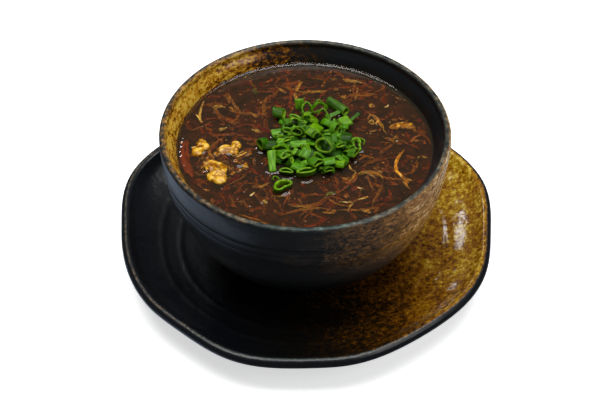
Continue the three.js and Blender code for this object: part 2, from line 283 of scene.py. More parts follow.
def append(whole: Mesh, part: Mesh) -> None:
    """Adds one mesh to another and frees it.

    Args:
        whole: The mesh that grows.
        part: The mesh that is added.
    """
    carrier = bpy.data.meshes.new("carrier")
    part.to_mesh(carrier)
    part.free()
    whole.from_mesh(carrier)
    bpy.data.meshes.remove(carrier)


def lay(mesh: Mesh, turn: float, place: Sequence[float]) -> None:
    """Turns a mesh round the Z axis and moves it to its place.

    Args:
        mesh: The mesh.
        turn: How far it turns, in radians.
        place: How far it moves.
    """
    bmesh.ops.rotate(mesh, matrix=Matrix.Rotation(turn, 3, "Z"), verts=mesh.verts)
    bmesh.ops.translate(mesh, vec=place, verts=mesh.verts)


def settle(name: str, mesh: Mesh, material: Material,
           nodes: Iterable[str] = (), crease: float = 60.0) -> Piece:
    """Puts a finished piece into the frame, in metres, on the one body.

    Args:
        name: The piece's name.
        mesh: The piece in millimetres round the bowl's axis. It is freed.
        material: The piece's material.
        nodes: The CAD nodes that the piece stands for.
        crease: Edges sharper than this many degrees stay sharp.

    Returns:
        The new object.
    """
    bmesh.ops.transform(mesh, matrix=TO_FRAME, verts=mesh.verts)
    data = bpy.data.meshes.new(name)
    mesh.to_mesh(data)
    mesh.free()
    data.shade_smooth()
    data.set_sharp_from_angle(angle=math.radians(crease))
    data.materials.append(material)
    piece = bpy.data.objects.new(name, data)
    bpy.context.scene.collection.objects.link(piece)
    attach(piece, BODY)
    if nodes:
        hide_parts(*nodes)
    LOG.info("%s: %d faces", name, len(data.polygons))
    return piece


MATH, MIX, NOISE = "ShaderNodeMath", "ShaderNodeMix", "ShaderNodeTexNoise"
RAMP, RANGE, BUMP = "ShaderNodeValToRGB", "ShaderNodeMapRange", "ShaderNodeBump"
ATTRIBUTE, SURFACE, OUTPUT = "ShaderNodeAttribute", "ShaderNodeBsdfPrincipled", "ShaderNodeOutputMaterial"


def toned(low: str, high: str, share: float) -> Vector:
    """Returns a linear colour part of the way between two sRGB hex colours."""
    return Vector(linear(low)).lerp(Vector(linear(high)), share)


def shades(*stops: tuple[float, str]) -> list[tuple[float, Colour]]:
    """Returns a ramp's places with their sRGB hex colours made linear."""
    return [(place, linear(colour)) for place, colour in stops]


class Finish:
    """A material under construction, with a pattern space in millimetres round the bowl's axis."""

    def __init__(self, name: str, stretch: Sequence[float] = (1, 1, 1)) -> None:
        """Starts an empty material.

        Args:
            name: The material's name.
            stretch: How much denser the patterns run along each axis.
        """
        self.material = bpy.data.materials.new(name)
        self.material.use_nodes = True
        self.tree = self.material.node_tree
        self.tree.nodes.clear()
        scale = [share / MM for share in stretch]
        start = [-centre * size for centre, size in zip(AXIS, scale)]
        own = self.add("ShaderNodeTexCoord", "Object")
        self.place = self.add("ShaderNodeMapping", "Vector",
                              {"Vector": own, "Location": start, "Scale": scale})

    def add(self, kind: str, output: Optional[str | int], inputs: Optional[dict] = None,
            stops: Sequence[tuple[float, Colour]] = (), **settings: object) -> Optional[NodeSocket]:
        """Adds one node with its settings, values and links.

        Args:
            kind: The node's type name.
            output: The name or number of the output that is used, if it has one.
            inputs: What each input takes, by its name or number: a value, or a socket to link from.
            stops: The places and colours of a colour ramp.
            settings: The node's own properties.

        Returns:
            The output's socket.
        """
        node = self.tree.nodes.new(kind)
        for name, value in settings.items():
            setattr(node, name, value)
        for socket, value in (inputs or {}).items():
            if isinstance(value, NodeSocket):
                self.tree.links.new(value, node.inputs[socket])
            else:
                node.inputs[socket].default_value = value
        if stops:
            ramp = node.color_ramp
            while len(ramp.elements) < len(stops):
                ramp.elements.new(1.0)
            for element, (place, colour) in zip(ramp.elements, stops):
                element.position, element.color = place, colour
        return None if output is None else node.outputs[output]


# ---- Finishes ----


@dataclass(frozen=True)
class TenmokuGlaze:
    """Tenmoku, a glossy iron glaze poured over thrown stoneware.

    It fires black where it is thick and breaks to mottled amber where it is thin, and pale along sharp
    rims. The eye reads it from the soft mottle, the gloss and the slight ripple of the fired surface.
    """

    name: str
    mottle: float  # how wide its blots are, in millimetres
    contrast: float
    stretch: tuple[float, float, float] = (1, 1, 1)
    outside_contrast: float = 1.0  # how much of the contrast is left outside
    strength: float = 0.9  # how far the thinnest glaze gets along its row of colours
    spots: float = 3.0  # how wide the spots along the rim are, in millimetres
    dull: float = 0.3  # the roughness of the thick black glaze
    bright: float = 0.13  # the roughness of the thin amber glaze
    ripple: float = 0.26  # the height of the slow waves, in millimetres
    skin: float = 0.08  # the height of the fine unevenness, in millimetres
    thick: tuple[tuple[float, str], ...] = ((0.0, "#05070b"), (0.18, "#0d0b08"), (0.38, "#1e1306"))
    thin: tuple[tuple[float, str], ...] = (
        (0.54, "#462804"), (0.68, "#6e4208"), (0.82, "#8c620c"), (0.93, "#a68a20"), (1.0, "#bca242"),
    )
    outer: tuple[tuple[float, str], ...] = (
        (0.0, "#05080b"), (0.26, "#0c0e10"), (0.4, "#251c14"), (0.54, "#4a3218"), (0.68, "#6e4a22"),
        (0.8, "#946e40"), (0.88, "#b09468"), (0.96, "#ccbea4"),
    )

    def build(self) -> Material:
        """Makes the material. The attributes amber, outside, rim and warm say where each tone shows.

        Returns:
            The glaze material.
        """
        new = Finish(self.name, self.stretch)
        amber, outside, rim, warm = (new.add(ATTRIBUTE, "Fac", attribute_name=name)
                                     for name in ("amber", "outside", "rim", "warm"))
        soft = new.add(NOISE, "Fac", {"Vector": new.place, "Scale": 1 / self.mottle, "Detail": 3.0,
                                      "Roughness": 0.5, "Distortion": 0.35})
        grain = new.add(NOISE, "Fac", {"Vector": new.place, "Scale": 2.2 / self.mottle, "Detail": 4.0,
                                       "Roughness": 0.75})
        cloud = new.add(NOISE, "Fac", {"Vector": new.place, "Scale": 1 / 14, "Detail": 2.0})
        # Mottle shows only where the glaze starts to thin, so thick glaze stays evenly black.
        spread = new.add(RANGE, "Result", {"Value": amber, "From Min": 0.02, "From Max": 0.4,
                                           "To Max": self.contrast}, interpolation_type="SMOOTHSTEP")
        summed = new.add(MATH, 0, {0: soft, 1: grain}, operation="ADD")
        pattern = new.add(MATH, 0, {0: cloud, 1: 0.5, 2: summed}, operation="MULTIPLY_ADD")
        # Two and a half noises, each around a half.
        swing = new.add(MATH, 0, {0: pattern, 1: 1.25}, operation="SUBTRACT")
        calm = new.add(RANGE, "Result", {"Value": outside, "To Min": 1.0, "To Max": self.outside_contrast})
        share = new.add(MATH, 0, {0: spread, 1: calm}, operation="MULTIPLY")
        level = new.add(MATH, 0, {0: swing, 1: share}, operation="MULTIPLY")
        tone = new.add(MATH, 0, {0: amber, 1: self.strength, 2: level}, operation="MULTIPLY_ADD",
                       use_clamp=True)
        inner = new.add(RAMP, "Color", {"Fac": tone}, shades(*self.thick, *self.thin))
        outer = new.add(RAMP, "Color", {"Fac": tone}, shades(*self.outer))
        body = new.add(MIX, 2, {0: outside, 6: inner, 7: outer}, data_type="RGBA")
        # Along the rim the glaze runs thin: grey-green, with rusty spots where warm is high.
        blot = new.add(NOISE, "Fac", {"Vector": new.place, "Scale": 1 / self.spots, "Detail": 3.0,
                                      "Roughness": 0.6})
        cool = new.add(RAMP, "Color", {"Fac": blot}, shades((0.32, "#10181a"), (0.5, "#2c3a37"),
                                                           (0.66, "#566b62")))
        rusty = new.add(RAMP, "Color", {"Fac": blot}, shades((0.36, "#12161a"), (0.48, "#3a382c"),
                                                            (0.57, "#85581f"), (0.68, "#a87436")))
        worn = new.add(MIX, 2, {0: warm, 6: cool, 7: rusty}, data_type="RGBA")
        colour = new.add(MIX, 2, {0: rim, 6: body, 7: worn}, data_type="RGBA")
        glossy = new.add(RANGE, "Result", {"Value": amber, "To Min": self.dull, "To Max": self.bright})
        gloss = new.add(MATH, 0, {0: rim, 1: 0.22, 2: glossy}, operation="MULTIPLY_ADD")
        sheen = new.add(RANGE, "Result", {"Value": rim, "To Min": 0.5, "To Max": 0.14})
        ripple = new.add(NOISE, "Fac", {"Vector": new.place, "Scale": 1 / 9, "Detail": 1.0})
        wavy = new.add(BUMP, "Normal", {"Height": ripple, "Distance": self.ripple * MM})
        skin = new.add(BUMP, "Normal", {"Height": soft, "Distance": self.skin * MM, "Normal": wavy})
        shader = new.add(SURFACE, "BSDF", {"Base Color": colour, "Roughness": gloss, "Normal": skin,
                                           "IOR": 1.5, "Specular IOR Level": sheen})
        new.add(OUTPUT, None, {"Surface": shader})
        return new.material


@dataclass(frozen=True)
class ThickBroth:
    """Starch-thickened soy and vinegar broth: clear brown for a few millimetres, and dark below.

    The eye reads it from the sharp gloss on a soft, slightly uneven surface, and from shreds that
    darken as they sink.
    """

    name: str = "starch_thickened_broth"
    density: float = 600.0  # per metre
    tint: str = "#e4c070"
    cloud: str = "#dcc898"  # starch clouds the broth a little

    def build(self) -> Material:
        """Makes the clear outer broth.

        Returns:
            The broth material.
        """
        new = Finish(self.name)
        swell = new.add(NOISE, "Fac", {"Vector": new.place, "Scale": 1 / 7, "Detail": 2.0})
        skin = new.add(BUMP, "Normal", {"Height": swell, "Distance": 0.07 * MM})
        shader = new.add(SURFACE, "BSDF", {"Base Color": linear(self.cloud), "Transmission Weight": 0.98,
                                           "Roughness": 0.04, "IOR": 1.35, "Normal": skin})
        depth = new.add("ShaderNodeVolumeAbsorption", "Volume", {"Color": linear(self.tint),
                                                                 "Density": self.density})
        new.add(OUTPUT, None, {"Surface": shader, "Volume": depth})
        return new.material


@dataclass(frozen=True)
class DeepBroth:
    """The broth's cloudy depth, where starch and fine sediment hide what is below."""

    name: str = "cloudy_deep_broth"

    def build(self) -> Material:
        """Makes the cloudy depth.

        Returns:
            The material of the broth's core.
        """
        new = Finish(self.name)
        cloud = new.add(NOISE, "Fac", {"Vector": new.place, "Scale": 1 / 8, "Detail": 5.0,
                                       "Roughness": 0.6})
        colour = new.add(RAMP, "Color", {"Fac": cloud}, shades((0.3, "#443026"), (0.5, "#624634"),
                                                               (0.7, "#845a38")))
        shader = new.add(SURFACE, "BSDF", {"Base Color": colour, "Roughness": 0.8,
                                           "Specular IOR Level": 0.0})
        new.add(OUTPUT, None, {"Surface": shader})
        return new.material


@dataclass(frozen=True)
class BrothFilm:
    """A bubble's thin film over brown broth, which shows as a dark dome with one sharp glint."""

    name: str = "broth_bubble_film"

    def build(self) -> Material:
        """Makes the film.

        Returns:
            The bubbles' material.
        """
        new = Finish(self.name)
        shader = new.add(SURFACE, "BSDF", {"Base Color": linear("#5c3c24"), "Roughness": 0.06, "IOR": 1.5})
        new.add(OUTPUT, None, {"Surface": shader})
        return new.material


@dataclass(frozen=True)
class WetShreds:
    """Wet cooked shreds and flakes, each dyed by the broth, with paler and darker stretches."""

    name: str
    gloss: float  # what is sunk has hardly any gloss of its own

    def build(self) -> Material:
        """Makes the material. The piece's attribute tint holds each shred's own colour.

        Returns:
            The shreds' material.
        """
        new = Finish(self.name)
        tint = new.add(ATTRIBUTE, "Color", attribute_name="tint")
        stretch = new.add(NOISE, "Fac", {"Vector": new.place, "Scale": 1 / 2.2, "Detail": 4.0,
                                         "Roughness": 0.6})
        shade = new.add(RAMP, "Color", {"Fac": stretch}, shades((0.3, "#8a6a58"), (0.62, "#ffffff")))
        colour = new.add(MIX, 2, {0: 1.0, 6: tint, 7: shade}, data_type="RGBA", blend_type="MULTIPLY")
        rough = new.add(BUMP, "Normal", {"Height": stretch, "Distance": 0.12 * MM})
        shader = new.add(SURFACE, "BSDF", {
            "Base Color": colour, "Roughness": 0.3, "Specular IOR Level": self.gloss, "Normal": rough,
            "Subsurface Weight": 0.3, "Subsurface Radius": (0.9 * MM, 0.5 * MM, 0.25 * MM),
            "Subsurface Scale": 1.0,
        })
        new.add(OUTPUT, None, {"Surface": shader})
        return new.material


@dataclass(frozen=True)
class SoftEgg:
    """Soft egg curd, poached in ribbons: golden folds, glossy with broth, darkened in their creases by
    broth stain and painted shade.
    """

    name: str = "soft_egg_curd"

    def build(self) -> Material:
        """Makes the material. The piece's attribute crease says where broth stain and painted shade darken
        the folds and the low sides.

        Returns:
            The curds' material.
        """
        new = Finish(self.name)
        crease = new.add(ATTRIBUTE, "Fac", attribute_name="crease")
        patch = new.add(NOISE, "Fac", {"Vector": new.place, "Scale": 1 / 3.0, "Detail": 4.0,
                                       "Roughness": 0.6})
        # crease darkens the colour: broth stain, and painted shade in the folds and low down
        raised = new.add(MATH, 0, {0: crease, 1: 0.32}, operation="SUBTRACT")
        stain_and_shade = new.add(MATH, 0, {0: patch, 1: 0.9, 2: raised}, operation="MULTIPLY_ADD", use_clamp=True)
        colour = new.add(RAMP, "Color", {"Fac": stain_and_shade}, shades(
            (0.0, "#d8b042"), (0.14, "#be8c1c"), (0.34, "#986606"), (0.6, "#703c04"), (1.0, "#3e1a02")))
        film = new.add(BUMP, "Normal", {"Height": patch, "Distance": 0.2 * MM})
        shader = new.add(SURFACE, "BSDF", {
            "Base Color": colour, "Roughness": 0.14, "Specular IOR Level": 0.3, "Subsurface Weight": 0.35,
            "Subsurface Radius": (1.6 * MM, 0.8 * MM, 0.2 * MM), "Subsurface Scale": 1.0, "Normal": film,
        })
        new.add(OUTPUT, None, {"Surface": shader})
        return new.material


@dataclass(frozen=True)
class FreshScallion:
    """Fresh cut scallion leaf: deep green waxy outside with fine veins, paler wet flesh where it is cut."""

    name: str = "fresh_scallion_leaf"

    def build(self) -> Material:
        """Makes the material. Attributes tint and veins give the colour and the grain's direction.

        Returns:
            The scallions' material.
        """
        new = Finish(self.name)
        tint = new.add(ATTRIBUTE, "Color", attribute_name="tint")
        grain = new.add(ATTRIBUTE, "Vector", attribute_name="veins")
        veins = new.add(NOISE, "Fac", {"Vector": grain, "Scale": 1 / 0.6, "Detail": 2.0, "Roughness": 0.5})
        streaks = new.add(RAMP, "Color", {"Fac": veins}, shades((0.34, "#7f9a52"), (0.5, "#dceab4"),
                                                                (0.66, "#ffffff")))
        colour = new.add(MIX, 2, {0: 0.9, 6: tint, 7: streaks}, data_type="RGBA", blend_type="MULTIPLY")
        ridged = new.add(BUMP, "Normal", {"Height": veins, "Distance": 0.1 * MM})
        shader = new.add(SURFACE, "BSDF", {
            "Base Color": colour, "Roughness": 0.32, "Specular IOR Level": 0.1, "Subsurface Weight": 0.25,
            "Subsurface Radius": (0.5 * MM, 0.9 * MM, 0.15 * MM), "Subsurface Scale": 1.0, "Normal": ridged,
        })
        new.add(OUTPUT, None, {"Surface": shader})
        return new.material


@dataclass(frozen=True)
class CookedStrip:
    """A cooked strip of root or shoot, half clear with broth, with fibres that run along it."""

    name: str
    pale: str
    middle: str
    dark: str

    def build(self) -> Material:
        """Makes the material. The piece's attribute fibres gives their direction.

        Returns:
            The strip's material.
        """
        new = Finish(self.name)
        along = new.add(ATTRIBUTE, "Vector", attribute_name="fibres")
        fibre = new.add(NOISE, "Fac", {"Vector": along, "Scale": 1 / 1.1, "Detail": 4.0, "Roughness": 0.6})
        colour = new.add(RAMP, "Color", {"Fac": fibre}, shades((0.32, self.dark), (0.5, self.middle),
                                                               (0.68, self.pale)))
        film = new.add(BUMP, "Normal", {"Height": fibre, "Distance": 0.12 * MM})
        shader = new.add(SURFACE, "BSDF", {
            "Base Color": colour, "Roughness": 0.16, "Specular IOR Level": 0.18, "Subsurface Weight": 0.3,
            "Subsurface Radius": (1.2 * MM, 0.5 * MM, 0.2 * MM), "Subsurface Scale": 1.0, "Normal": film,
        })
        new.add(OUTPUT, None, {"Surface": shader})
        return new.material


@dataclass(frozen=True)
class MatteBoard:
    """Matte white painted board, which the eye reads as plain even white."""

    name: str = "matte_white_board"

    def build(self) -> Material:
        """Makes the painted board.

        Returns:
            The floor's material.
        """
        new = Finish(self.name)
        shader = new.add(SURFACE, "BSDF", {
            "Base Color": linear("#f8f8f7"), "Roughness": 0.95, "Emission Color": linear("#ffffff"),
            "Emission Strength": 0.6,
        })
        new.add(OUTPUT, None, {"Surface": shader})
        return new.material


# ---- Underplate ----


@dataclass
class Underplate:
    """The pressed underplate, with throwing rings and a rolled, roughly eight-sided edge."""

    height: float = 24.0
    floor: float = 8.0
    radius: float = 105.0
    edge: float = 3.2
    round_radius: float = 64.0
    foot_radius: float = 62.0
    foot_width: float = 6.0
    foot_recess: float = 2.5
    ring_radii: tuple[float, ...] = (73.0, 84.0)
    ring_rise: float = 0.4
    ring_width: float = 1.8
    thin_from: float = -74.0  # where the glaze starts to thin, and where it is thinnest, left to right
    thin_to: float = 98.0
    thin_lean: float = 0.22  # how far the change leans for each millimetre towards the back
    crest_at: float = 0.79  # where the worn crest lies along the rolled edge, and how wide it is
    crest_width: float = 0.034
    segments: int = 360
    edge_steps: int = 48
    outline: tuple[Pair, ...] = (
        (2, 104.8), (13, 105.4), (36, 103.6), (65, 106.4), (84, 104.8), (110, 109.5), (137, 106.5),
        (161, 107), (181, 105.2), (199, 107.2), (223, 106.8), (246, 109.4), (275, 103.4), (305, 104.8),
        (319, 103.9), (341, 106.9),
    )

    def underside(self) -> list[Pair]:
        """Draws the underside.

        Returns:
            Its profile from the middle, over the foot, to below the edge.
        """
        inner = self.foot_radius - self.foot_width
        wall = spline([(72, 3.4), (82, 5.8), (92, 10.4), (100, 15.4)], 14, Knots.EVEN)
        return [(0, self.foot_recess), (inner - 0.6, self.foot_recess), (inner, 0), (self.foot_radius, 0),
                (self.foot_radius + 1, self.foot_recess), *[tuple(point) for point in wall]]

    def rolled_edge(self) -> list[Pair]:
        """Returns the profile of the rolled edge, from its underside over its crest."""
        return arc(self.radius, self.height - self.edge, self.edge, -110, 130, self.edge_steps)

    def dish(self) -> list[Pair]:
        """Draws the upper face with its throwing rings.

        Returns:
            Its profile from inside the edge to the middle.
        """
        curve = spline([(self.radius - 3, self.height - 2.2), (98, 18), (91, 14.4), (80, 11), (68, 9),
                        (50, self.floor)], 64, Knots.EVEN)
        ringed = []
        for radius, height in curve:
            rise = max(math.exp(-(((radius - ring) / self.ring_width) ** 2)) for ring in self.ring_radii)
            ringed.append((radius, height + self.ring_rise * rise))
        return [*ringed, (0, self.floor)]

    def crest(self, degrees: float) -> float:
        """Returns the crest's distance from the axis at a bearing."""
        return between_knots(self.outline, degrees)

    def press(self, mesh: Mesh) -> None:
        """Presses the round plate to its uneven outline.

        Args:
            mesh: The turned plate.
        """
        for vertex in mesh.verts:
            x, y, _ = vertex.co
            share = ease(self.round_radius, self.radius, math.hypot(x, y))
            factor = 1 + share * (self.crest(bearing(x, y)) / self.radius - 1)
            vertex.co.x *= factor
            vertex.co.y *= factor

    def thin_glaze(self, x: float, y: float) -> float:
        """Works out how thin the glaze lies on the upper face.

        Args:
            x: Millimetres from the axis towards +X.
            y: Millimetres from the axis towards the back.

        Returns:
            A share from black at the left to amber at the right, the brightest at the back right.
        """
        wander = 6 * noise.noise(Vector((x, y, 0)) / 30)
        spread = ease(self.thin_from, self.thin_to, x + self.thin_lean * y + wander)
        return spread * blend(0.98, 1.08, ease(-20, 60, y))

    def build(self) -> Piece:
        """Makes the underplate.

        Returns:
            The underplate's object.
        """
        underside, edge, dish = self.underside(), self.rolled_edge(), self.dish()
        profile = [*underside, *edge, *dish]
        shares = [step / self.edge_steps for step in range(self.edge_steps + 1)]
        upper = [0.0] * len(underside) + [ease(0.74, 0.82, share) for share in shares] + [1.0] * len(dish)
        worn = [0.7 * math.exp(-(((share - self.crest_at) / self.crest_width) ** 2)) for share in shares]
        rim = [0.0] * len(underside) + worn + [0.0] * len(dish)
        mesh = spun(profile, self.segments, {"upper": upper, "rim": rim, "outside": [0.0] * len(profile)})
        amber = mesh.verts.layers.float.new("amber")
        warm = mesh.verts.layers.float.new("warm")
        facing = mesh.verts.layers.float["upper"]
        for vertex in mesh.verts:
            vertex[amber] = vertex[facing] * self.thin_glaze(vertex.co.x, vertex.co.y)
            vertex[warm] = ease(10, 80, abs(vertex.co.x)) * (0.9 if vertex.co.x > 0 else 0.5)
        self.press(mesh)
        glaze = TenmokuGlaze("tenmoku_glaze_underplate", mottle=2.8, contrast=0.85, strength=0.79,
                             spots=2.2, ripple=0.42, skin=0.16).build()
        return settle("underplate_glazed", mesh, glaze, ["plate"])


# ---- Bowl ----


@dataclass
class Bowl:
    """The thrown bowl, with two grooves under its rim."""

    radius: float = 80.0
    rim_thickness: float = 4.0
    foot_radius: float = 36.0
    foot_width: float = 6.0
    foot_recess: float = 3.5
    groove_depths: tuple[float, ...] = (17.0, 23.0)
    groove_cut: float = 0.7
    groove_width: float = 1.5
    segments: int = 320
    rim_steps: int = 16
    # How thin the glaze lies, and how rusty the rim is, by the bearing from the front towards +X.
    outside_glaze: tuple[Pair, ...] = (
        (0, 0.3), (22, 0.55), (50, 0.82), (85, 1.0), (130, 1.0), (185, 0.7), (235, 0.1), (300, 0.0),
        (345, 0.0),
    )
    inside_glaze: tuple[Pair, ...] = (
        (0, 0.1), (60, 0.0), (120, 0.0), (165, 0.05), (180, 0.3), (198, 0.62), (215, 0.95), (240, 1.0),
        (290, 1.0), (325, 0.6),
    )
    warm_rim: tuple[Pair, ...] = (
        (0, 0.0), (40, 0.25), (90, 0.4), (140, 0.2), (185, 0.3), (230, 0.7), (280, 0.9), (320, 0.55),
    )
    thin_glaze: tuple[tuple[float, str], ...] = (
        (0.54, "#482804"), (0.68, "#764406"), (0.82, "#9c6a0c"), (0.93, "#b0841a"), (1.0, "#be9a3a"),
    )

    def upper_wall(self, depth: float) -> float:
        """Returns the outer radius on the nearly upright part of the wall, at a depth below the rim."""
        return self.radius - 2.6 * (max(0.0, depth - 6) / 22) ** 1.4

    def groove(self, depth: float) -> float:
        """Returns how deep the grooves cut at a depth below the rim."""
        cuts = [max(0.0, 1 - abs(depth - middle) / self.groove_width) for middle in self.groove_depths]
        return self.groove_cut * ease(0, 1, max(cuts))

    def outer_wall(self) -> list[Pair]:
        """Draws the outside.

        Returns:
            Its profile from above the foot to below the rim.
        """
        lower = spline([(self.foot_radius + 0.6, 4.5), (44, 7.2), (54, 14), (62.8, 22.4), (69.5, 34),
                        (74.2, 46), (self.upper_wall(28), BOWL_HEIGHT - 28)], 60, Knots.EVEN)
        depths = [28 - 0.5 * step for step in range(1, 52)]
        upper = [(self.upper_wall(depth) - self.groove(depth), BOWL_HEIGHT - depth) for depth in depths]
        return [*[tuple(point) for point in lower], *upper]

    def inner_wall(self) -> list[Pair]:
        """Draws the inside.

        Returns:
            Its profile from the rim to the middle of the floor.
        """
        inner = self.radius - self.rim_thickness
        upper = spline([(inner, BOWL_HEIGHT - 2), (inner - 0.3, BOWL_HEIGHT - 3.5), (73, BOWL_HEIGHT - 7.5),
                        WETTED_WALL[0]], 24, Knots.EVEN)
        lower = spline(WETTED_WALL, 28, Knots.EVEN)
        return [tuple(point) for point in [*upper[1:], *lower[1:]]]

    def build(self) -> Piece:
        """Makes the bowl.

        Returns:
            The bowl's object.
        """
        round_size = self.rim_thickness / 2
        foot_inner = self.foot_radius - self.foot_width
        outer = [(0, self.foot_recess), (foot_inner - 0.6, self.foot_recess), (foot_inner, 0),
                 (self.foot_radius, 0), *self.outer_wall()]
        rim = arc(self.radius - round_size, BOWL_HEIGHT - round_size, round_size, 0, 180, self.rim_steps)
        inner = self.inner_wall()
        shares = [step / self.rim_steps for step in range(self.rim_steps + 1)]
        over = [1 - ease(0.2, 0.8, share) for share in shares]
        worn = [0.9 * math.exp(-(((share - 0.5) / 0.24) ** 2)) for share in shares]
        outside = [1.0] * len(outer) + over + [0.0] * len(inner)
        crest = [0.0] * len(outer) + worn + [0.0] * len(inner)
        profile = [*outer, *rim, *inner]
        mesh = spun([(radius, height + BOWL_BASE) for radius, height in profile], self.segments,
                    {"outside": outside, "rim": crest})
        amber = mesh.verts.layers.float.new("amber")
        warm = mesh.verts.layers.float.new("warm")
        facing = mesh.verts.layers.float["outside"]
        for vertex in mesh.verts:
            turn = bearing(vertex.co.x, vertex.co.y) + 9 * noise.noise(vertex.co / 14)
            within = between_knots(self.inside_glaze, turn)
            without = between_knots(self.outside_glaze, turn)
            # Low on the front and left the colour darkens towards the foot: painted shade on the lower
            # belly.
            without *= blend(0.3, 1, max(ease(34, 76, vertex.co.z), ease(30, 70, vertex.co.x)))
            vertex[amber] = blend(within, without, vertex[facing])
            vertex[warm] = between_knots(self.warm_rim, turn)
        glaze = TenmokuGlaze("tenmoku_glaze_bowl", stretch=(1, 1, 1.9), mottle=3.2, contrast=1.5,
                             outside_contrast=0.48, dull=0.36, thin=self.thin_glaze).build()
        return settle("bowl_glazed", mesh, glaze, ["bowl"])


# ---- Soup ----


@dataclass(frozen=True)
class Circle:
    """A round part of the soup that a garnish covers."""

    x: float
    y: float
    radius: float


@dataclass(frozen=True)
class Contact:
    """Something that breaks the soup's surface, which creeps up round it."""

    x: float
    y: float
    radius: float
    lift: float


@dataclass
class Soup:
    """The soup: a clear brown layer over a cloudy core, with a meniscus at the wall."""

    contacts: list[Contact]
    wall_radius: float = WETTED_WALL[0][0]
    meniscus: float = 1.0
    meniscus_reach: float = 0.85
    # How high the meniscus climbs, by the bearing from the front towards +X.
    wetting: tuple[Pair, ...] = (
        (0, 0.5), (70, 0.35), (125, 0.35), (150, 1.0), (225, 1.0), (260, 0.6), (320, 0.5),
    )
    creep: float = 0.8  # how far the surface takes to level out beside a piece
    nearest: int = 5  # how many contacts are looked at from one point
    swell: float = 0.12  # the surface's slow unevenness, and its fine one
    pucker: float = 0.03
    clear_depth: float = 3.2
    into_wall: float = 0.12  # how far the clear layer reaches into the wall, so that no gap shows
    core_inset: float = 0.5  # how far the core stays inside the wall
    fine_step: float = 0.75  # how far apart the rings of the clear layer's face lie, and the core's
    coarse_step: float = 3.0
    segments: int = 400
    wall_steps: int = 36
    edge_steps: tuple[float, ...] = (0.0, 0.15, 0.3, 0.5, 0.7, 0.95, 1.25, 1.6, 2.0, 2.6)
    edge_width: float = 3.2  # how much of the upper face has those closer rings
    tree: kdtree.KDTree = field(init=False)

    def __post_init__(self) -> None:
        """Sorts the contacts so that the nearest are found quickly."""
        self.tree = kdtree.KDTree(len(self.contacts))
        for index, contact in enumerate(self.contacts):
            self.tree.insert((contact.x, contact.y, 0), index)
        self.tree.balance()

    def rise(self, x: float, y: float) -> float:
        """Works out how far the surface stands above its level.

        Args:
            x: Millimetres from the axis towards +X.
            y: Millimetres from the axis towards the back.

        Returns:
            The rise in millimetres.
        """
        edge = self.wall_radius - math.hypot(x, y)
        wet = between_knots(self.wetting, bearing(x, y))
        rise = self.meniscus * wet * math.exp(-max(0.0, edge) / self.meniscus_reach)
        here = Vector((x, y, 0))
        climb = 0.0
        for _, index, distance in self.tree.find_n(here, self.nearest):
            contact = self.contacts[index]
            away = (distance - contact.radius) / self.creep
            climb = max(climb, contact.lift * math.exp(-(away**2)) if away > 0 else contact.lift)
        return rise + climb + self.swell * noise.noise(here / 12) + self.pucker * noise.noise(here / 4)

    def filled(self, inset: float, level: float, step: float) -> Mesh:
        """Turns a body that fills the bowl up to a level.

        Args:
            inset: How far it stays inside the wall. Below 0 it reaches into the wall.
            level: Its height above the bowl's base.
            step: How far apart the rings of its upper face lie.

        Returns:
            The body, with a flat upper face.
        """
        curve = spline(WETTED_WALL, self.wall_steps, Knots.EVEN)
        side = [(max(0.0, point.x - inset), point.y + max(0.0, inset)) for point in curve]
        side = [point for point in reversed(side) if point[1] < level - 0.2]
        edge = self.wall_radius - inset
        rings = int((edge - self.edge_width) / step)
        top = [(edge - away, level) for away in self.edge_steps]
        top += [((edge - self.edge_width) * (1 - ring / rings), level) for ring in range(rings + 1)]
        return spun([(radius, height + BOWL_BASE) for radius, height in [*side, *top]], self.segments)

    def build(self) -> list[Piece]:
        """Makes the clear layer and the cloudy core.

        Returns:
            Both objects.
        """
        level = BOWL_HEIGHT - FREEBOARD
        clear = self.filled(-self.into_wall, level, self.fine_step)
        for vertex in clear.verts:
            if vertex.co.z > BOWL_BASE + level - 1e-3:
                vertex.co.z += self.rise(vertex.co.x, vertex.co.y)
        deep = self.filled(self.core_inset, level - self.clear_depth, self.coarse_step)
        for vertex in deep.verts:
            if vertex.co.z > BOWL_BASE + level - self.clear_depth - 1e-3:
                vertex.co.z += 0.7 * noise.noise(vertex.co / 10)
        return [
            settle("soup_clear_layer", clear, ThickBroth().build(), ["soup"]),
            settle("soup_cloudy_core", deep, DeepBroth().build()),
        ]


# ---- Shreds in the soup ----


@dataclass(frozen=True)
class Kind:
    """One kind of shred: the colours it is drawn from, and how thick it is for its width."""

    colours: tuple[str, ...]
    flatness: float
    sink: float  # how far the broth draws it down


class Ingredient(Enum):
    """What a shred or flake in the soup is cut from."""

    BAMBOO = Kind(("#bc7c26", "#a86a20", "#cc9038"), 0.5, 0.5)
    CARROT = Kind(("#b8600c", "#a6520a", "#c46c14"), 0.5, 0.6)
    EGG = Kind(("#dca838", "#d09a2a", "#ecc860"), 0.4, 0.15)
    WOOD_EAR = Kind(("#4e2a14", "#3e2010", "#5c341a"), 0.35, 0.5)
    CHILLI = Kind(("#a41a10", "#b82814", "#981c14"), 0.4, 0.4)
    LEAF = Kind(("#6c8a2a", "#7c8a34", "#8a9440"), 0.2, 0.0)
    TOFU = Kind(("#cca860", "#bc9448"), 0.5, 0.2)


@dataclass(frozen=True)
class Shred:
    """A shred along a path. Start and end are its middle's height over the soup's level there."""

    what: Ingredient
    width: float
    start: float
    end: float
    path: tuple[Pair, ...]


@dataclass(frozen=True)
class Strand:
    """One fibre of a shred: its place across, its width, the share of the length and its drop."""

    lane: float
    width: float
    first: float
    last: float
    drop: float


BAMBOO, CARROT, EGG, WOOD_EAR, CHILLI, LEAF, TOFU = Ingredient

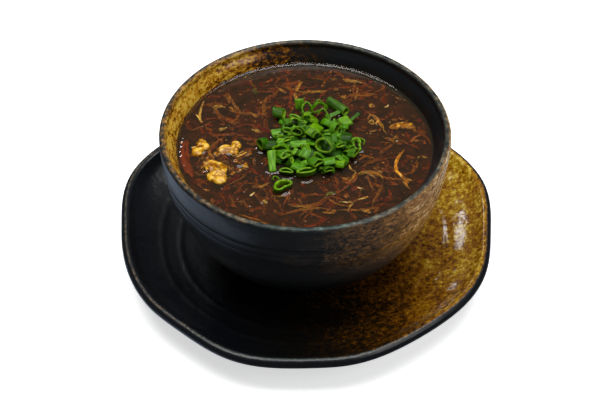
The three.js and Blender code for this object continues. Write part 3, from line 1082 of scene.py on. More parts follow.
# The shreds that stand out on the soup: what, width, height at each end, and the path's points.
PLACED_SHREDS = tuple(Shred(what, width, start, end, tuple(path)) for what, width, start, end, *path in (
    # Left and back left.
    (BAMBOO, 1.5, 0.3, -0.1, (-44.5, 44.5), (-40.5, 35), (-37, 27)),
    (BAMBOO, 1.3, -0.2, -1.2, (-37, 27), (-38, 23.5), (-41, 20.5)),
    (BAMBOO, 1.1, -0.1, 0.1, (-37, 27), (-34.5, 28)),
    (BAMBOO, 1.6, -0.2, -1.2, (-46, 44), (-43.5, 39), (-43, 36)),
    (EGG, 1.3, 0.2, -0.3, (-58, 37), (-59, 30), (-59.5, 23), (-57.5, 18)),
    (EGG, 0.9, 0.1, -0.5, (-62, 25), (-60, 22.5), (-58.5, 18.5)),
    (BAMBOO, 3.0, -1.0, -1.3, (-56.5, 34.5), (-51.5, 35.5), (-44, 35)),
    (EGG, 2.4, -0.4, -0.8, (-52.5, 31), (-49.5, 32.5), (-45, 31.5)),
    (EGG, 3.0, -0.5, -1.2, (-43.5, 32), (-41, 30), (-38.5, 28.5)),
    (BAMBOO, 2.0, -0.9, -0.3, (-48, 26), (-43.5, 21), (-40, 18.5), (-37, 18)),
    (CARROT, 1.8, -0.3, -1.0, (-29, 33.5), (-26, 28), (-21.5, 24)),
    (CARROT, 1.8, -1.0, -1.6, (-55, 13.5), (-51.5, 9.5), (-48, 5)),
    (CARROT, 1.5, -1.2, -0.8, (-46, 13.5), (-38.5, 15.5), (-31, 18), (-26, 13.5)),
    (CARROT, 1.7, -1.0, -0.8, (-57, 9.5), (-48, 8.5), (-39.5, 9.5), (-33, 7.5)),
    (CARROT, 1.6, -0.2, -1.3, (-36.5, 5.5), (-31, 5), (-25, 4.5)),
    (BAMBOO, 1.6, -1.2, -0.6, (-64, 12), (-58, 15.5), (-52.5, 19.5)),
    (CARROT, 2.6, -0.8, -1.4, (-66, 14), (-64.5, 17.5)),
    (EGG, 1.5, 0.1, 0.2, (-48.5, 12), (-46.5, 12.5), (-43.5, 13.6)),
    (EGG, 2.4, 0.2, 0.0, (-29.8, 12.6), (-27, 11.4), (-24.4, 10.6)),
    (CHILLI, 2.4, -0.5, -0.8, (-55.5, 17.5), (-51, 16.2)),
    (LEAF, 3.8, -0.9, -1.0, (-30.5, 45), (-27, 47.5)),
    (EGG, 1.8, -0.2, -0.5, (-30, 24.5), (-26.5, 23.5)),
    (BAMBOO, 1.6, 0.4, -0.9, (-47.5, 5), (-51, 0), (-54.5, -5.5), (-57, -9), (-59.5, -14.5)),
    (CARROT, 2.4, -0.2, -0.6, (-50, -1), (-45.5, -8), (-41, -13.5)),
    (EGG, 2.6, 0.3, 0.2, (-39.5, -10.8), (-35.5, -8.2), (-32.5, -5.6)),
    (CARROT, 1.4, 0.1, -1.0, (-33, -5.6), (-30, -3.4), (-26.5, -2.6)),
    (BAMBOO, 1.4, -0.4, -0.9, (-28, -9.5), (-27.5, -17)),
    (CARROT, 1.8, -1.0, -1.8, (-58, -26), (-56, -34)),
    (BAMBOO, 1.6, 0.1, -0.6, (-54.5, -36.5), (-51, -36.3)),
    (BAMBOO, 1.4, -0.5, 0.0, (-42.5, -33), (-38.5, -30), (-34.5, -27), (-31.5, -22.5)),
    (CARROT, 1.5, -0.8, -0.6, (-40, -34), (-34, -30.5), (-30, -28)),
    # Front.
    (EGG, 1.4, 0.2, 0.1, (-25, -35.2), (-22.3, -33.6), (-19.6, -31.4)),
    (TOFU, 1.1, 0.0, 0.1, (-29.5, -41.5), (-27, -38.5)),
    (BAMBOO, 1.8, -0.3, -0.1, (-35.5, -46), (-32, -44.6)),
    (CARROT, 2.6, -0.5, -0.5, (-30, -51.5), (-26.5, -52)),
    (CARROT, 2.0, -0.4, -0.6, (-39, -46), (-37.2, -50)),
    (BAMBOO, 2.4, -0.5, -0.9, (-50.5, -42.6), (-48, -45.5)),
    (CHILLI, 2.6, -0.5, -0.7, (-47.5, -45.5), (-44.2, -44.5)),
    (CHILLI, 2.2, -0.8, -0.9, (-42, -41), (-39, -41.5)),
    (CARROT, 2.4, -0.2, -0.4, (-22, -43), (-18, -42.8)),
    (CARROT, 1.8, -1.0, -0.3, (-10.5, -47), (-9, -41), (-6, -35)),
    (BAMBOO, 1.6, -0.7, -1.1, (-4, -42), (-2, -47)),
    (CARROT, 2.4, -0.5, -1.0, (20.5, -36), (13, -41), (5, -48.5), (-4, -56)),
    (CARROT, 3.0, -0.4, 0.3, (19.5, -36.5), (23, -31.5), (26.4, -27), (27.2, -22.5)),
    (EGG, 1.4, 0.3, 0.2, (23.5, -17), (24.5, -20.5), (27.4, -23)),
    (EGG, 1.2, 0.2, 0.0, (27.4, -23), (26, -27), (23.6, -30)),
    (CHILLI, 2.6, 0.0, 0.2, (24.5, -38), (28, -35.2), (29.5, -35)),
    (TOFU, 1.0, 0.3, 0.0, (27.5, -34.8), (31.5, -35.6)),
    (TOFU, 1.1, 0.2, 0.1, (31.5, -22.5), (34.5, -24), (38, -27.4)),
    (TOFU, 1.0, 0.3, 0.2, (17.5, -46), (22, -46.6), (25, -46)),
    (EGG, 1.4, 0.1, -0.4, (25, -46), (23.5, -49), (21.8, -53)),
    (BAMBOO, 1.1, 0.0, -0.6, (25, -46), (28, -42.6)),
    (EGG, 1.5, -0.1, 0.0, (28, -44.8), (31, -43), (33.5, -41.8)),
    (BAMBOO, 3.0, -0.3, -0.6, (21, -39.5), (23, -41.8)),
    (LEAF, 1.6, 0.1, 0.2, (11, -43.4), (12.6, -39.6), (16.8, -39)),
    (EGG, 2.0, 0.2, 0.0, (30, -53.6), (32, -52.4), (34.5, -54.4)),
    (BAMBOO, 1.4, -0.8, -0.6, (11.5, -53), (13.5, -49)),
    (BAMBOO, 1.6, -0.4, -0.9, (36.5, -53.5), (39, -49)),
    # Right.
    (EGG, 2.4, -0.1, -0.4, (38.5, -22.4), (42.3, -22.6)),
    (CARROT, 1.5, -0.5, -0.9, (40.5, -20), (44.5, -21), (48.5, -22.5)),
    (BAMBOO, 1.3, -0.6, -0.1, (42, -25.6), (48.5, -27.5), (54, -28.6)),
    (CARROT, 1.5, -0.8, 0.1, (41.5, -30.5), (46.5, -31.4), (50, -32.6)),
    (EGG, 1.5, 0.1, -0.1, (53.2, -27.6), (57.4, -29.6)),
    (EGG, 1.6, 0.0, -0.5, (52.8, -28.6), (55.6, -36)),
    (BAMBOO, 1.3, 0.1, 0.2, (35, 20.6), (36.4, 24), (39.4, 24), (41, 20.6), (39.2, 16.8), (36.2, 17.6)),
    (EGG, 1.1, 0.2, 0.1, (35.6, 18.4), (38.2, 20.4), (38.6, 17.6)),
    (EGG, 2.2, -0.2, -0.9, (22, 56.2), (27, 55.6), (33.5, 53.6)),
    (BAMBOO, 2.6, -0.5, -1.3, (28.8, 54), (28, 46.8)),
    (CARROT, 2.4, -1.0, -1.5, (20, 50.5), (28, 51)),
    (EGG, 2.0, -0.3, -0.5, (-1.5, 43.6), (4, 45.4), (12.5, 46)),
    (CARROT, 2.6, -0.6, -1.2, (-0.5, 41.5), (-1, 36)),
    (EGG, 3.0, -0.7, -1.9, (25, 42.6), (31.5, 44), (41, 44)),
    (CARROT, 1.8, -0.6, -1.0, (28.5, 40), (34.5, 39.2)),
    (TOFU, 2.0, -0.6, -0.7, (14.5, 57.5), (18.5, 57.6)),
    (EGG, 2.4, -0.5, -0.6, (16.5, 47.8), (19.4, 48.6)),
    (CARROT, 2.4, -0.7, -1.0, (10, 61), (10.6, 56.5)),
    (EGG, 2.6, -0.4, -0.6, (21, 42.6), (24, 40.4)),
    (CARROT, 1.8, -0.6, -0.8, (32, 30.2), (36.5, 28), (41, 28.4)),
    (CARROT, 1.6, -0.5, -0.8, (40.5, 22.2), (46.5, 22.4)),
    (BAMBOO, 1.8, -0.5, -0.8, (49, 20.5), (53, 21.4)),
    (EGG, 2.2, -0.4, -0.5, (36.5, 33.4), (40, 33.6)),
    (TOFU, 1.2, -0.2, -0.1, (45.5, 31.4), (47.8, 33.6)),
    (TOFU, 1.2, -0.3, -0.2, (36.5, 11), (39.8, 12)),
    (CARROT, 1.4, -0.1, -0.1, (40.5, 12), (43, 13.4)),
    (CARROT, 1.5, -0.4, -0.3, (58.5, 4.2), (62, 6.8), (66, 10.4)),
    (EGG, 1.6, 0.1, 0.0, (63.5, -10.2), (65, -10.4), (66.8, -11.8)),
    (CARROT, 2.0, -0.7, -1.2, (55, -8.5), (60.5, -10.6)),
    (CARROT, 1.6, -0.9, -1.2, (50, 2.2), (54.5, 0.8)),
    (CARROT, 1.4, -0.5, -1.0, (35.5, -1.4), (41.5, -3)),
    (TOFU, 1.6, -0.7, -0.4, (51.5, 40.6), (55.5, 39.2)),
    (CARROT, 1.6, -0.4, -0.8, (65.4, 3.6), (67, 0.8)),
    (EGG, 1.4, -0.5, -0.5, (60, 3.4), (64, 3.6)),
    (CHILLI, 2.6, -0.5, -0.6, (63, 20.4), (66, 21.2)),
    (CHILLI, 2.0, 0.1, 0.1, (37.4, 55), (39, 54)),
    (CHILLI, 2.4, -0.4, -0.5, (1.4, 61), (3.8, 61)),
    (CHILLI, 2.2, -0.2, -0.2, (6.6, 64), (8.4, 63.6)),
    (CHILLI, 1.8, -0.3, -0.3, (33.2, 26.6), (34.8, 26.4)),
    # Back.
    (EGG, 2.2, -0.4, 0.4, (-1.8, 55), (-3.8, 50.5), (-5.6, 45.5)),
    (EGG, 1.6, 0.3, -0.6, (-5.6, 45.5), (-5.4, 41), (-5, 37)),
    (CARROT, 3.2, -0.9, -0.7, (-13.5, 51.5), (-8, 53), (-1.5, 55.4)),
    (EGG, 1.6, -0.5, -0.4, (-17, 49.6), (-13.6, 47.6), (-11, 44)),
    (CARROT, 1.6, -0.4, -0.6, (-22, 48.4), (-17, 49.2)),
    (CARROT, 1.6, -0.8, -1.2, (-24, 53.5), (-18, 58), (-13, 60)),
    (WOOD_EAR, 5.0, -0.9, -0.9, (-35, 58), (-28, 60.5), (-20, 63)),
))

# The seeds and tries that placed the shreds and flakes of the solid soup, and how far out they reach.
SOLID_SHRED_SEED, SOLID_SHRED_TRIES = 7, 100
SOLID_FLAKE_SEED, SOLID_FLAKE_TRIES = 23, 50
FLOAT_RADIUS = 66.0
CLEARANCE = 2.6


@dataclass(frozen=True)
class Flake:
    """A small flake in the soup. Its depth is its height over the soup's level."""

    x: float
    y: float
    size: float
    depth: float
    turn: float


@dataclass
class ShredMaker:
    """Makes shreds and flakes: the placed ones, the solid soup's own, and the many sunk ones."""

    covered: list[Circle]
    seed: int = 41
    sunk_shreds: int = 330
    flakes: int = 420
    sides: int = 6
    sunk_radius: float = 69.0
    line_steps: int = 36
    contact_steps: int = 8
    fibre: float = 0.9  # how wide a shred is for each fibre that it frays into
    tones: tuple[str, ...] = ("#d8a050", "#c26a20", "#a83a18", "#e6cc88", "#8a4a1e", "#b87030")

    def is_free(self, x: float, y: float) -> bool:
        """Tells whether a point on the soup is free.

        Args:
            x: Millimetres from the axis towards +X.
            y: Millimetres from the axis towards the back.

        Returns:
            True where it is clear of the wall and the garnishes.
        """
        if math.hypot(x, y) > FLOAT_RADIUS:
            return False
        return all(math.hypot(x - spot.x, y - spot.y) > spot.radius + CLEARANCE for spot in self.covered)

    def wander(self, start: Pair, length: float, heading: float, bend: float) -> list[Pair]:
        """Lays a path of three equal steps.

        Args:
            start: Where it starts.
            length: Its whole length.
            heading: The direction of its first step, in radians.
            bend: How far it turns at each step.

        Returns:
            Its four points.
        """
        path = [start]
        for step in range(3):
            along, aside = polar(length / 3, heading + bend * step)
            path.append((path[-1][0] + along, path[-1][1] + aside))
        return path

    def solid_shreds(self) -> list[Shred]:
        """Repeats the draws that placed the shreds of the solid soup.

        Returns:
            Those shreds, just under the surface.
        """
        draw = SeededDraw(SOLID_SHRED_SEED)
        kinds = [BAMBOO, CARROT, EGG, CARROT, BAMBOO]
        found = []
        for _ in range(SOLID_SHRED_TRIES):
            distance = FLOAT_RADIUS * math.sqrt(draw())
            around, heading = draw() * math.tau, draw() * math.tau
            length = draw.between(9, 24)
            bend = (draw() - 0.5) * 1.6
            width = draw.between(1.1, 2.2)
            path = self.wander(polar(distance, around), length, heading, bend / 3)
            line = spline([(x, y, 0) for x, y in path], 9, Knots.SPACED)
            if all(self.is_free(point.x, point.y) for point in line):
                kind = kinds[len(found) % len(kinds)]
                found.append(Shred(kind, width * 0.85, -0.9, -1.3, tuple(path)))
        return found

    def sunk(self, draw: random.Random) -> Shred:
        """Draws one shred that lies in the soup.

        Args:
            draw: The seeded draws.

        Returns:
            The shred.
        """
        kind = draw.choices([BAMBOO, CARROT, WOOD_EAR, EGG, CHILLI], [8, 9, 4, 3, 1])[0]
        distance, around = self.sunk_radius * math.sqrt(draw.random()), draw.uniform(0, math.tau)
        length = draw.uniform(2.5, 8) if draw.random() < 0.55 else draw.uniform(8, 22)
        heading, bend = draw.uniform(0, math.tau), draw.uniform(-0.7, 0.7)
        path = []
        for x, y in self.wander(polar(distance, around), length, heading, bend):
            within = min(1, self.sunk_radius / math.hypot(x, y))
            path.append((x * within, y * within))
        top = -0.5 - 2.0 * draw.random() ** 0.8
        return Shred(kind, draw.uniform(0.7, 2.6), top, top + draw.uniform(-0.8, 0.5), tuple(path))

    def strand_mesh(self, shred: Shred, line: Sequence[Vector], strand: Strand, colour: Colour,
                    seed: float) -> Mesh:
        """Bends a tube into one tapered, slightly ragged fibre of a shred.

        Args:
            shred: What it is and where it lies.
            line: Its middle line, in small even steps.
            strand: The part of the shred that this fibre takes up.
            colour: Its linear colour.
            seed: Where its unevenness is read.

        Returns:
            The fibre, with its colour in the attribute tint.
        """
        kind = shred.what.value
        length = (strand.last - strand.first) * sum((b - a).length for a, b in zip(line, line[1:]))
        rings = max(3, min(14, round(length / 1.3)))
        mesh = bmesh.new()
        tint = mesh.verts.layers.float_color.new("tint")
        bmesh.ops.create_cone(mesh, cap_ends=True, segments=self.sides, radius1=1, radius2=1, depth=1)
        lengthwise = [edge for edge in mesh.edges if abs(edge.verts[0].co.z - edge.verts[1].co.z) > 0.5]
        bmesh.ops.subdivide_edges(mesh, edges=lengthwise, cuts=rings - 1, use_grid_fill=True)
        for vertex in mesh.verts:
            share = vertex.co.z + 0.5
            ring = round(share * rings)
            along = blend(strand.first, strand.last, share)
            spot = round(along * (len(line) - 1))
            heading = (line[min(len(line) - 1, spot + 1)] - line[max(0, spot - 1)]).normalized()
            aside = Vector((-heading.y, heading.x, 0))
            fullness = 0.25 + 0.75 * math.sin(math.pi * (0.05 + 0.9 * share)) ** 0.7
            half = strand.width / 2 * fullness * (1 + 0.4 * noise.noise(Vector((seed, ring * 0.8, 0))))
            sway = strand.lane + 0.7 * noise.noise(Vector((ring * 0.4, seed, 3)))
            drop = blend(shred.start, shred.end, along) - kind.sink + strand.drop
            drop += 0.3 * noise.noise(Vector((ring * 0.5, 7, seed)))
            across, up = vertex.co.x * half, vertex.co.y * half * kind.flatness
            vertex.co = line[spot] + aside * (across + sway)
            vertex.co.z = SOUP_LEVEL + drop + up
            vertex[tint] = colour
        return mesh

    def shred_mesh(self, shred: Shred, draw: random.Random) -> Mesh:
        """Makes a shred, which frays into several fibres where it is wide.

        Args:
            shred: What it is and where it lies.
            draw: The seeded draws.

        Returns:
            The shred.
        """
        line = spline([(x, y, 0) for x, y in shred.path], self.line_steps, Knots.SPACED)
        count = max(1, round(shred.width / self.fibre))
        whole = bmesh.new()
        whole.verts.layers.float_color.new("tint")
        for lane in range(count):
            place = (lane + 0.5) / count - 0.5
            first, last = (0.0, 1.0) if lane == count // 2 else (draw.uniform(0, 0.3), draw.uniform(0.7, 1))
            width = shred.width / count * draw.uniform(1.1, 1.6)
            strand = Strand(place * shred.width, width, first, last, draw.uniform(-0.35, 0.15))
            colour = linear(draw.choice(shred.what.value.colours))
            append(whole, self.strand_mesh(shred, line, strand, colour, draw.uniform(0, 100)))
        return whole

    def flake_mesh(self, flake: Flake, colour: Colour) -> Mesh:
        """Makes one small flake.

        Args:
            flake: Its place and size.
            colour: Its linear colour.

        Returns:
            The flake, with its colour in the attribute tint.
        """
        mesh = bmesh.new()
        tint = mesh.verts.layers.float_color.new("tint")
        bmesh.ops.create_icosphere(mesh, subdivisions=1, radius=flake.size)
        bmesh.ops.scale(mesh, vec=(1, 0.7, 0.45), verts=mesh.verts)
        lay(mesh, flake.turn, (0, 0, 0))
        for vertex in mesh.verts:
            vertex.co *= 1 + 0.4 * noise.noise(vertex.co * 0.9 + Vector((flake.x, flake.y, 0)))
            vertex[tint] = colour
        bmesh.ops.translate(mesh, vec=(flake.x, flake.y, SOUP_LEVEL + flake.depth), verts=mesh.verts)
        return mesh

    def solid_flakes(self) -> list[Flake]:
        """Repeats the draws that placed the flakes of the solid soup.

        Returns:
            Those flakes, just under the surface.
        """
        draw = SeededDraw(SOLID_FLAKE_SEED)
        found = []
        for _ in range(SOLID_FLAKE_TRIES):
            distance = FLOAT_RADIUS * math.sqrt(draw())
            around = draw() * math.tau
            size = draw.between(1.2, 2.4)
            turn = draw() * math.pi
            x, y = polar(distance, around)
            if self.is_free(x, y):
                found.append(Flake(x, y, size * 0.8, -0.8, turn))
        return found

    def sunk_flake(self, draw: random.Random) -> Flake:
        """Draws one flake that lies in the soup.

        Args:
            draw: The seeded draws.

        Returns:
            The flake.
        """
        distance, around = self.sunk_radius * math.sqrt(draw.random()), draw.uniform(0, math.tau)
        size, depth = draw.uniform(0.35, 1.0), -0.2 - 1.8 * draw.random() ** 1.2
        return Flake(*polar(distance, around), size, depth, draw.uniform(0, math.tau))

    def floating(self) -> list[Shred]:
        """Returns the shreds that reach the surface."""
        return [*PLACED_SHREDS, *self.solid_shreds()]

    def contacts(self) -> list[Contact]:
        """Finds where shreds break the surface, so that the soup creeps up on them.

        Returns:
            Small contacts along each shred that floats.
        """
        found = []
        for shred in self.floating():
            line = spline([(x, y, 0) for x, y in shred.path], self.contact_steps, Knots.SPACED)
            for index, point in enumerate(line):
                height = blend(shred.start, shred.end, index / self.contact_steps) - shred.what.value.sink
                if height > -0.15:
                    found.append(Contact(point.x, point.y, shred.width * 0.3, 0.22 + 0.4 * height))
        return found

    def build(self) -> list[Piece]:
        """Makes the shreds and the flakes.

        Returns:
            One object for each kind of piece.
        """
        draw = random.Random(self.seed)
        finish = WetShreds("wet_sunk_shreds", 0.05).build()
        wet = WetShreds("wet_floating_shreds", 0.35).build()
        floating, sunk, crumbs = bmesh.new(), bmesh.new(), bmesh.new()
        for shred in self.floating():
            append(floating, self.shred_mesh(shred, draw))
        for _ in range(self.sunk_shreds):
            append(sunk, self.shred_mesh(self.sunk(draw), draw))
        for flake in self.solid_flakes():
            append(crumbs, self.flake_mesh(flake, linear(draw.choice(self.tones))))
        for _ in range(self.flakes):
            append(crumbs, self.flake_mesh(self.sunk_flake(draw), linear(draw.choice(self.tones))))
        return [
            settle("soup_floating_shreds", floating, wet),
            settle("soup_sunk_shreds", sunk, finish),
            settle("soup_flakes", crumbs, finish),
        ]


@dataclass
class Bubbles:
    """Small domes of broth film that stand on the surface, mostly at the front left."""

    seed: int = 29
    places: tuple[tuple[float, float, float], ...] = (
        (-29.4, -49.6, 1.0), (-23.0, -47.3, 1.3), (-36.0, -44.0, 0.7), (-32.5, -38.5, 0.7),
        (-27.5, -35.0, 0.6),
    )
    strays: int = 26

    def build(self) -> Piece:
        """Makes the domes.

        Returns:
            The bubbles' object.
        """
        draw = random.Random(self.seed)
        whole = bmesh.new()
        spots = list(self.places)
        for _ in range(self.strays):
            around = draw.uniform(0, math.tau)
            distance = draw.choice([draw.uniform(29, 34), draw.uniform(34, 66)])
            spots.append((*polar(distance, around), draw.uniform(0.35, 0.7)))
        for x, y, size in spots:
            dome = bmesh.new()
            bmesh.ops.create_uvsphere(dome, u_segments=16, v_segments=10, radius=size)
            bmesh.ops.scale(dome, vec=(1, 1, 0.75), verts=dome.verts)
            bmesh.ops.translate(dome, vec=(x, y, SOUP_LEVEL - 0.1 * size), verts=dome.verts)
            append(whole, dome)
        return settle("soup_bubbles", whole, BrothFilm().build(), crease=SMOOTH)


# ---- Egg curds ----


def remeshed(mesh: Mesh, voxel: float) -> Mesh:
    """Fuses overlapping lumps into one even skin.

    Args:
        mesh: The lumps. It is freed.
        voxel: The size of the new skin's faces.

    Returns:
        The fused mesh.
    """
    carrier = bpy.data.meshes.new("carrier")
    mesh.to_mesh(carrier)
    mesh.free()
    rig = bpy.data.objects.new("carrier", carrier)
    bpy.context.scene.collection.objects.link(rig)
    skin = rig.modifiers.new("skin", "REMESH")
    skin.mode, skin.voxel_size = "VOXEL", voxel
    graph = bpy.context.evaluated_depsgraph_get()
    fused = bmesh.new()
    fused.from_mesh(rig.evaluated_get(graph).to_mesh())
    bpy.data.objects.remove(rig)
    bpy.data.meshes.remove(carrier)
    return fused


@dataclass(frozen=True)
class CurdSkin:
    """How a curd's skin is folded, in millimetres."""

    voxel: float = 0.36
    wander: float = 3.5  # how far the folds wander, and over what length
    wander_over: float = 5.0
    fold_along: float = 7.0
    fold_across: float = 4.4
    swell: float = 0.65  # how far the skin stands out between the folds
    bite: float = 0.4  # how deep the folds bite
    rough: float = 0.16
    rough_over: float = 2.2
    sunk: float = 1.4  # how far the curd settles into the soup

    def fold(self, spot: Vector) -> float:
        """Finds the folds of the skin.

        Args:
            spot: A point of the skin.

        Returns:
            0 in a fold, rising away from it.
        """
        across = noise.noise(spot / self.wander_over)
        back = noise.noise(spot / self.wander_over + Vector((9, 9, 9)))
        place = spot + self.wander * Vector((across, back, 0))
        return abs(noise.noise(Vector((place.x / self.fold_along, place.y / self.fold_across,
                                       place.z / self.fold_across))))


@dataclass(frozen=True)
class EggCurd:
    """A soft lump of poached egg that floats on the soup. Sizes are full sizes."""

    name: str
    x: float
    y: float
    long: float
    wide: float
    high: float
    turn: float
    blobs: int

    def lumps(self) -> Mesh:
        """Repeats the solid curd's lumps.

        Returns:
            The overlapping lumps.
        """
        draw = SeededDraw(int(self.turn))
        whole = bmesh.new()
        for index in range(self.blobs):
            along = blend(-0.32, 0.32, index / (self.blobs - 1)) * self.long
            aside = (draw() - 0.5) * 0.5 * self.wide
            size = self.wide * draw.between(0.24, 0.38)
            tall = self.high / self.wide * draw.between(1.5, 2.1) * 0.88
            blob = bmesh.new()
            bmesh.ops.create_icosphere(blob, subdivisions=3, radius=size)
            bmesh.ops.scale(blob, vec=(1.27, 1.1, tall), verts=blob.verts)
            lay(blob, draw() * math.pi, (along, aside, self.high * 0.3))
            lay(blob, math.radians(self.turn), (self.x, self.y, GARNISH_BASE))
            append(whole, blob)
        return whole

    def build(self, finish: Material) -> Piece:
        """Makes the curd, folded and creased.

        Args:
            finish: The egg material.

        Returns:
            The curd's object.
        """
        skin = CurdSkin()
        mesh = remeshed(self.lumps(), skin.voxel)
        mesh.normal_update()
        crease = mesh.verts.layers.float.new("crease")
        moves = []
        for vertex in mesh.verts:
            fold = skin.fold(vertex.co)
            rough = noise.fractal(vertex.co / skin.rough_over, 0.8, 2.1, 3)
            low = ease(2.2, 0.2, vertex.co.z - GARNISH_BASE)
            # Darker in the folds and on the low sides near the soup: broth stain and painted shade.
            vertex[crease] = 0.34 * (1 - ease(0.0, 0.2, fold)) + 0.5 * low - 0.3 * rough
            out = skin.swell * ease(0, 0.25, fold) - skin.bite + skin.rough * rough
            moves.append(vertex.normal * out - Vector((0, 0, skin.sunk)))
        for vertex, move in zip(mesh.verts, moves):
            vertex.co += move
        bmesh.ops.smooth_vert(mesh, verts=mesh.verts, factor=0.5, use_axis_x=True, use_axis_y=True,
                              use_axis_z=True)
        return settle(f"{self.name}_folded", mesh, finish, [self.name], crease=SMOOTH)


@dataclass(frozen=True)
class SunkEgg:
    """Torn egg that hangs in the broth round the curds."""

    # Its x, y, half length, depth under the soup's level, and turn in degrees.
    flakes: tuple[tuple[float, ...], ...] = (
        (-55.6, -17.7, 3.4, 0.9, 20), (-53.6, -13.5, 3.2, 0.6, 70), (-51.5, -10.6, 3.0, 0.9, 100),
        (-49.0, -8.4, 2.8, 0.4, 60), (-46.2, -6.6, 3.4, 0.8, 30), (-43.3, -12.9, 3.0, 1.3, 120),
        (-40.9, -18.0, 3.2, 0.9, 80), (-39.2, -22.6, 3.0, 0.5, 95), (-36.2, -21.5, 2.2, 0.5, 60),
        (-33.2, -15.8, 3.0, 0.5, 110), (-32.4, -19.6, 2.4, 0.7, 60), (-42.5, -27.5, 2.6, 1.0, 40),
        (-32.0, -7.4, 3.6, 0.5, 25), (-36.0, -10.0, 3.4, 0.8, 30), (-57.0, 3.6, 2.8, 0.7, 120),
        (-61.5, -7.5, 2.6, 0.8, 80), (-44.0, -1.6, 2.4, 0.9, 0), (-56.5, -24.0, 2.6, 1.0, 10),
    )

    def build(self, finish: Material) -> Piece:
        """Makes the torn flakes.

        Args:
            finish: The egg material.

        Returns:
            Their object.
        """
        whole = bmesh.new()
        whole.verts.layers.float.new("crease")
        for x, y, size, depth, turn in self.flakes:
            flake = bmesh.new()
            bmesh.ops.create_icosphere(flake, subdivisions=4, radius=size)
            bmesh.ops.scale(flake, vec=(1, 0.62, 0.2), verts=flake.verts)
            crease = flake.verts.layers.float.new("crease")
            for vertex in flake.verts:
                wave = noise.noise(vertex.co / 1.8 + Vector((x, y, 0)))
                vertex.co *= 1 + 0.5 * noise.noise(vertex.co / 2.2 + Vector((y, x, 0)))
                vertex.co.z += 0.5 * wave
                # Paler on the raised waves and darker in the dips: broth stain and painted shade, as on the
                # curds.
                vertex[crease] = 0.45 - 0.5 * wave
            lay(flake, math.radians(turn), (x, y, SOUP_LEVEL - depth))
            append(whole, flake)
        return settle("sunk_egg_flakes", whole, finish, crease=SMOOTH)


# ---- Strips ----


@dataclass(frozen=True)
class Strip:
    """A flat strip that floats on the soup, along its middle line."""

    name: str
    width: float
    thickness: float
    path: tuple[Pair, ...]
    sunk: float  # how far its underside lies under the soup's surface
    finish: CookedStrip
    slot: str
    rings: int = 28

    def middle(self, steps: int) -> list[Vector]:
        """Returns points along the strip's middle line."""
        return spline([(x, y, 0) for x, y in self.path], steps, Knots.SPACED)

    def build(self) -> Piece:
        """Makes the strip as a flattened, slightly twisted bar.

        Returns:
            The strip's object.
        """
        mesh = bmesh.new()
        bmesh.ops.create_cube(mesh, size=1)
        rings = self.rings
        lengthwise = [edge for edge in mesh.edges if abs(edge.verts[0].co.x - edge.verts[1].co.x) > 0.5]
        bmesh.ops.bevel(mesh, geom=lengthwise, offset=0.16, segments=3, profile=0.5, affect="EDGES",
                        material=-1)
        longest = [edge for edge in mesh.edges if abs(edge.verts[0].co.x - edge.verts[1].co.x) > 0.5]
        bmesh.ops.subdivide_edges(mesh, edges=longest, cuts=rings - 1, use_grid_fill=True)
        line = self.middle(rings)
        base = GARNISH_BASE - self.sunk
        fibres = mesh.verts.layers.float_vector.new("fibres")
        for vertex in mesh.verts:
            along = vertex.co.x + 0.5
            ring = min(rings, round(along * rings))
            heading = (line[min(rings, ring + 1)] - line[max(0, ring - 1)]).normalized()
            aside = Vector((-heading.y, heading.x, 0))
            fullness = 0.3 + 0.7 * min(1.0, math.sin(math.pi * (0.02 + 0.96 * along)) * 1.7)
            ragged = 1 + 0.35 * noise.noise(Vector((ring * 0.35, vertex.co.y * 2, self.width)))
            across = vertex.co.y * self.width * fullness * ragged
            vertex[fibres] = (along * 3, vertex.co.y * self.width, vertex.co.z)
            up = (vertex.co.z + 0.5) * self.thickness * (0.6 + 0.4 * fullness)
            ridge = 0.35 * noise.noise(Vector((ring * 0.12, vertex.co.y * 4, self.thickness)))
            wave = 0.5 * noise.noise(Vector((ring * 0.3, across * 0.4, self.thickness)))
            vertex.co = line[ring] + aside * across
            vertex.co.z = base + up + wave + ridge * (1 if up > 0.1 else 0)
        bmesh.ops.recalc_face_normals(mesh, faces=mesh.faces)
        return settle(f"{self.name}_cooked", mesh, self.finish.build(), [self.name])


# ---- Scallions ----


# The greens of the wet flesh and of the waxy skin.
FLESH_GREENS = ("#648a06", "#527804", "#749608")
SKIN_GREENS = ("#3c6c02", "#2e5a00", "#4a7e02", "#224400", "#628c04")


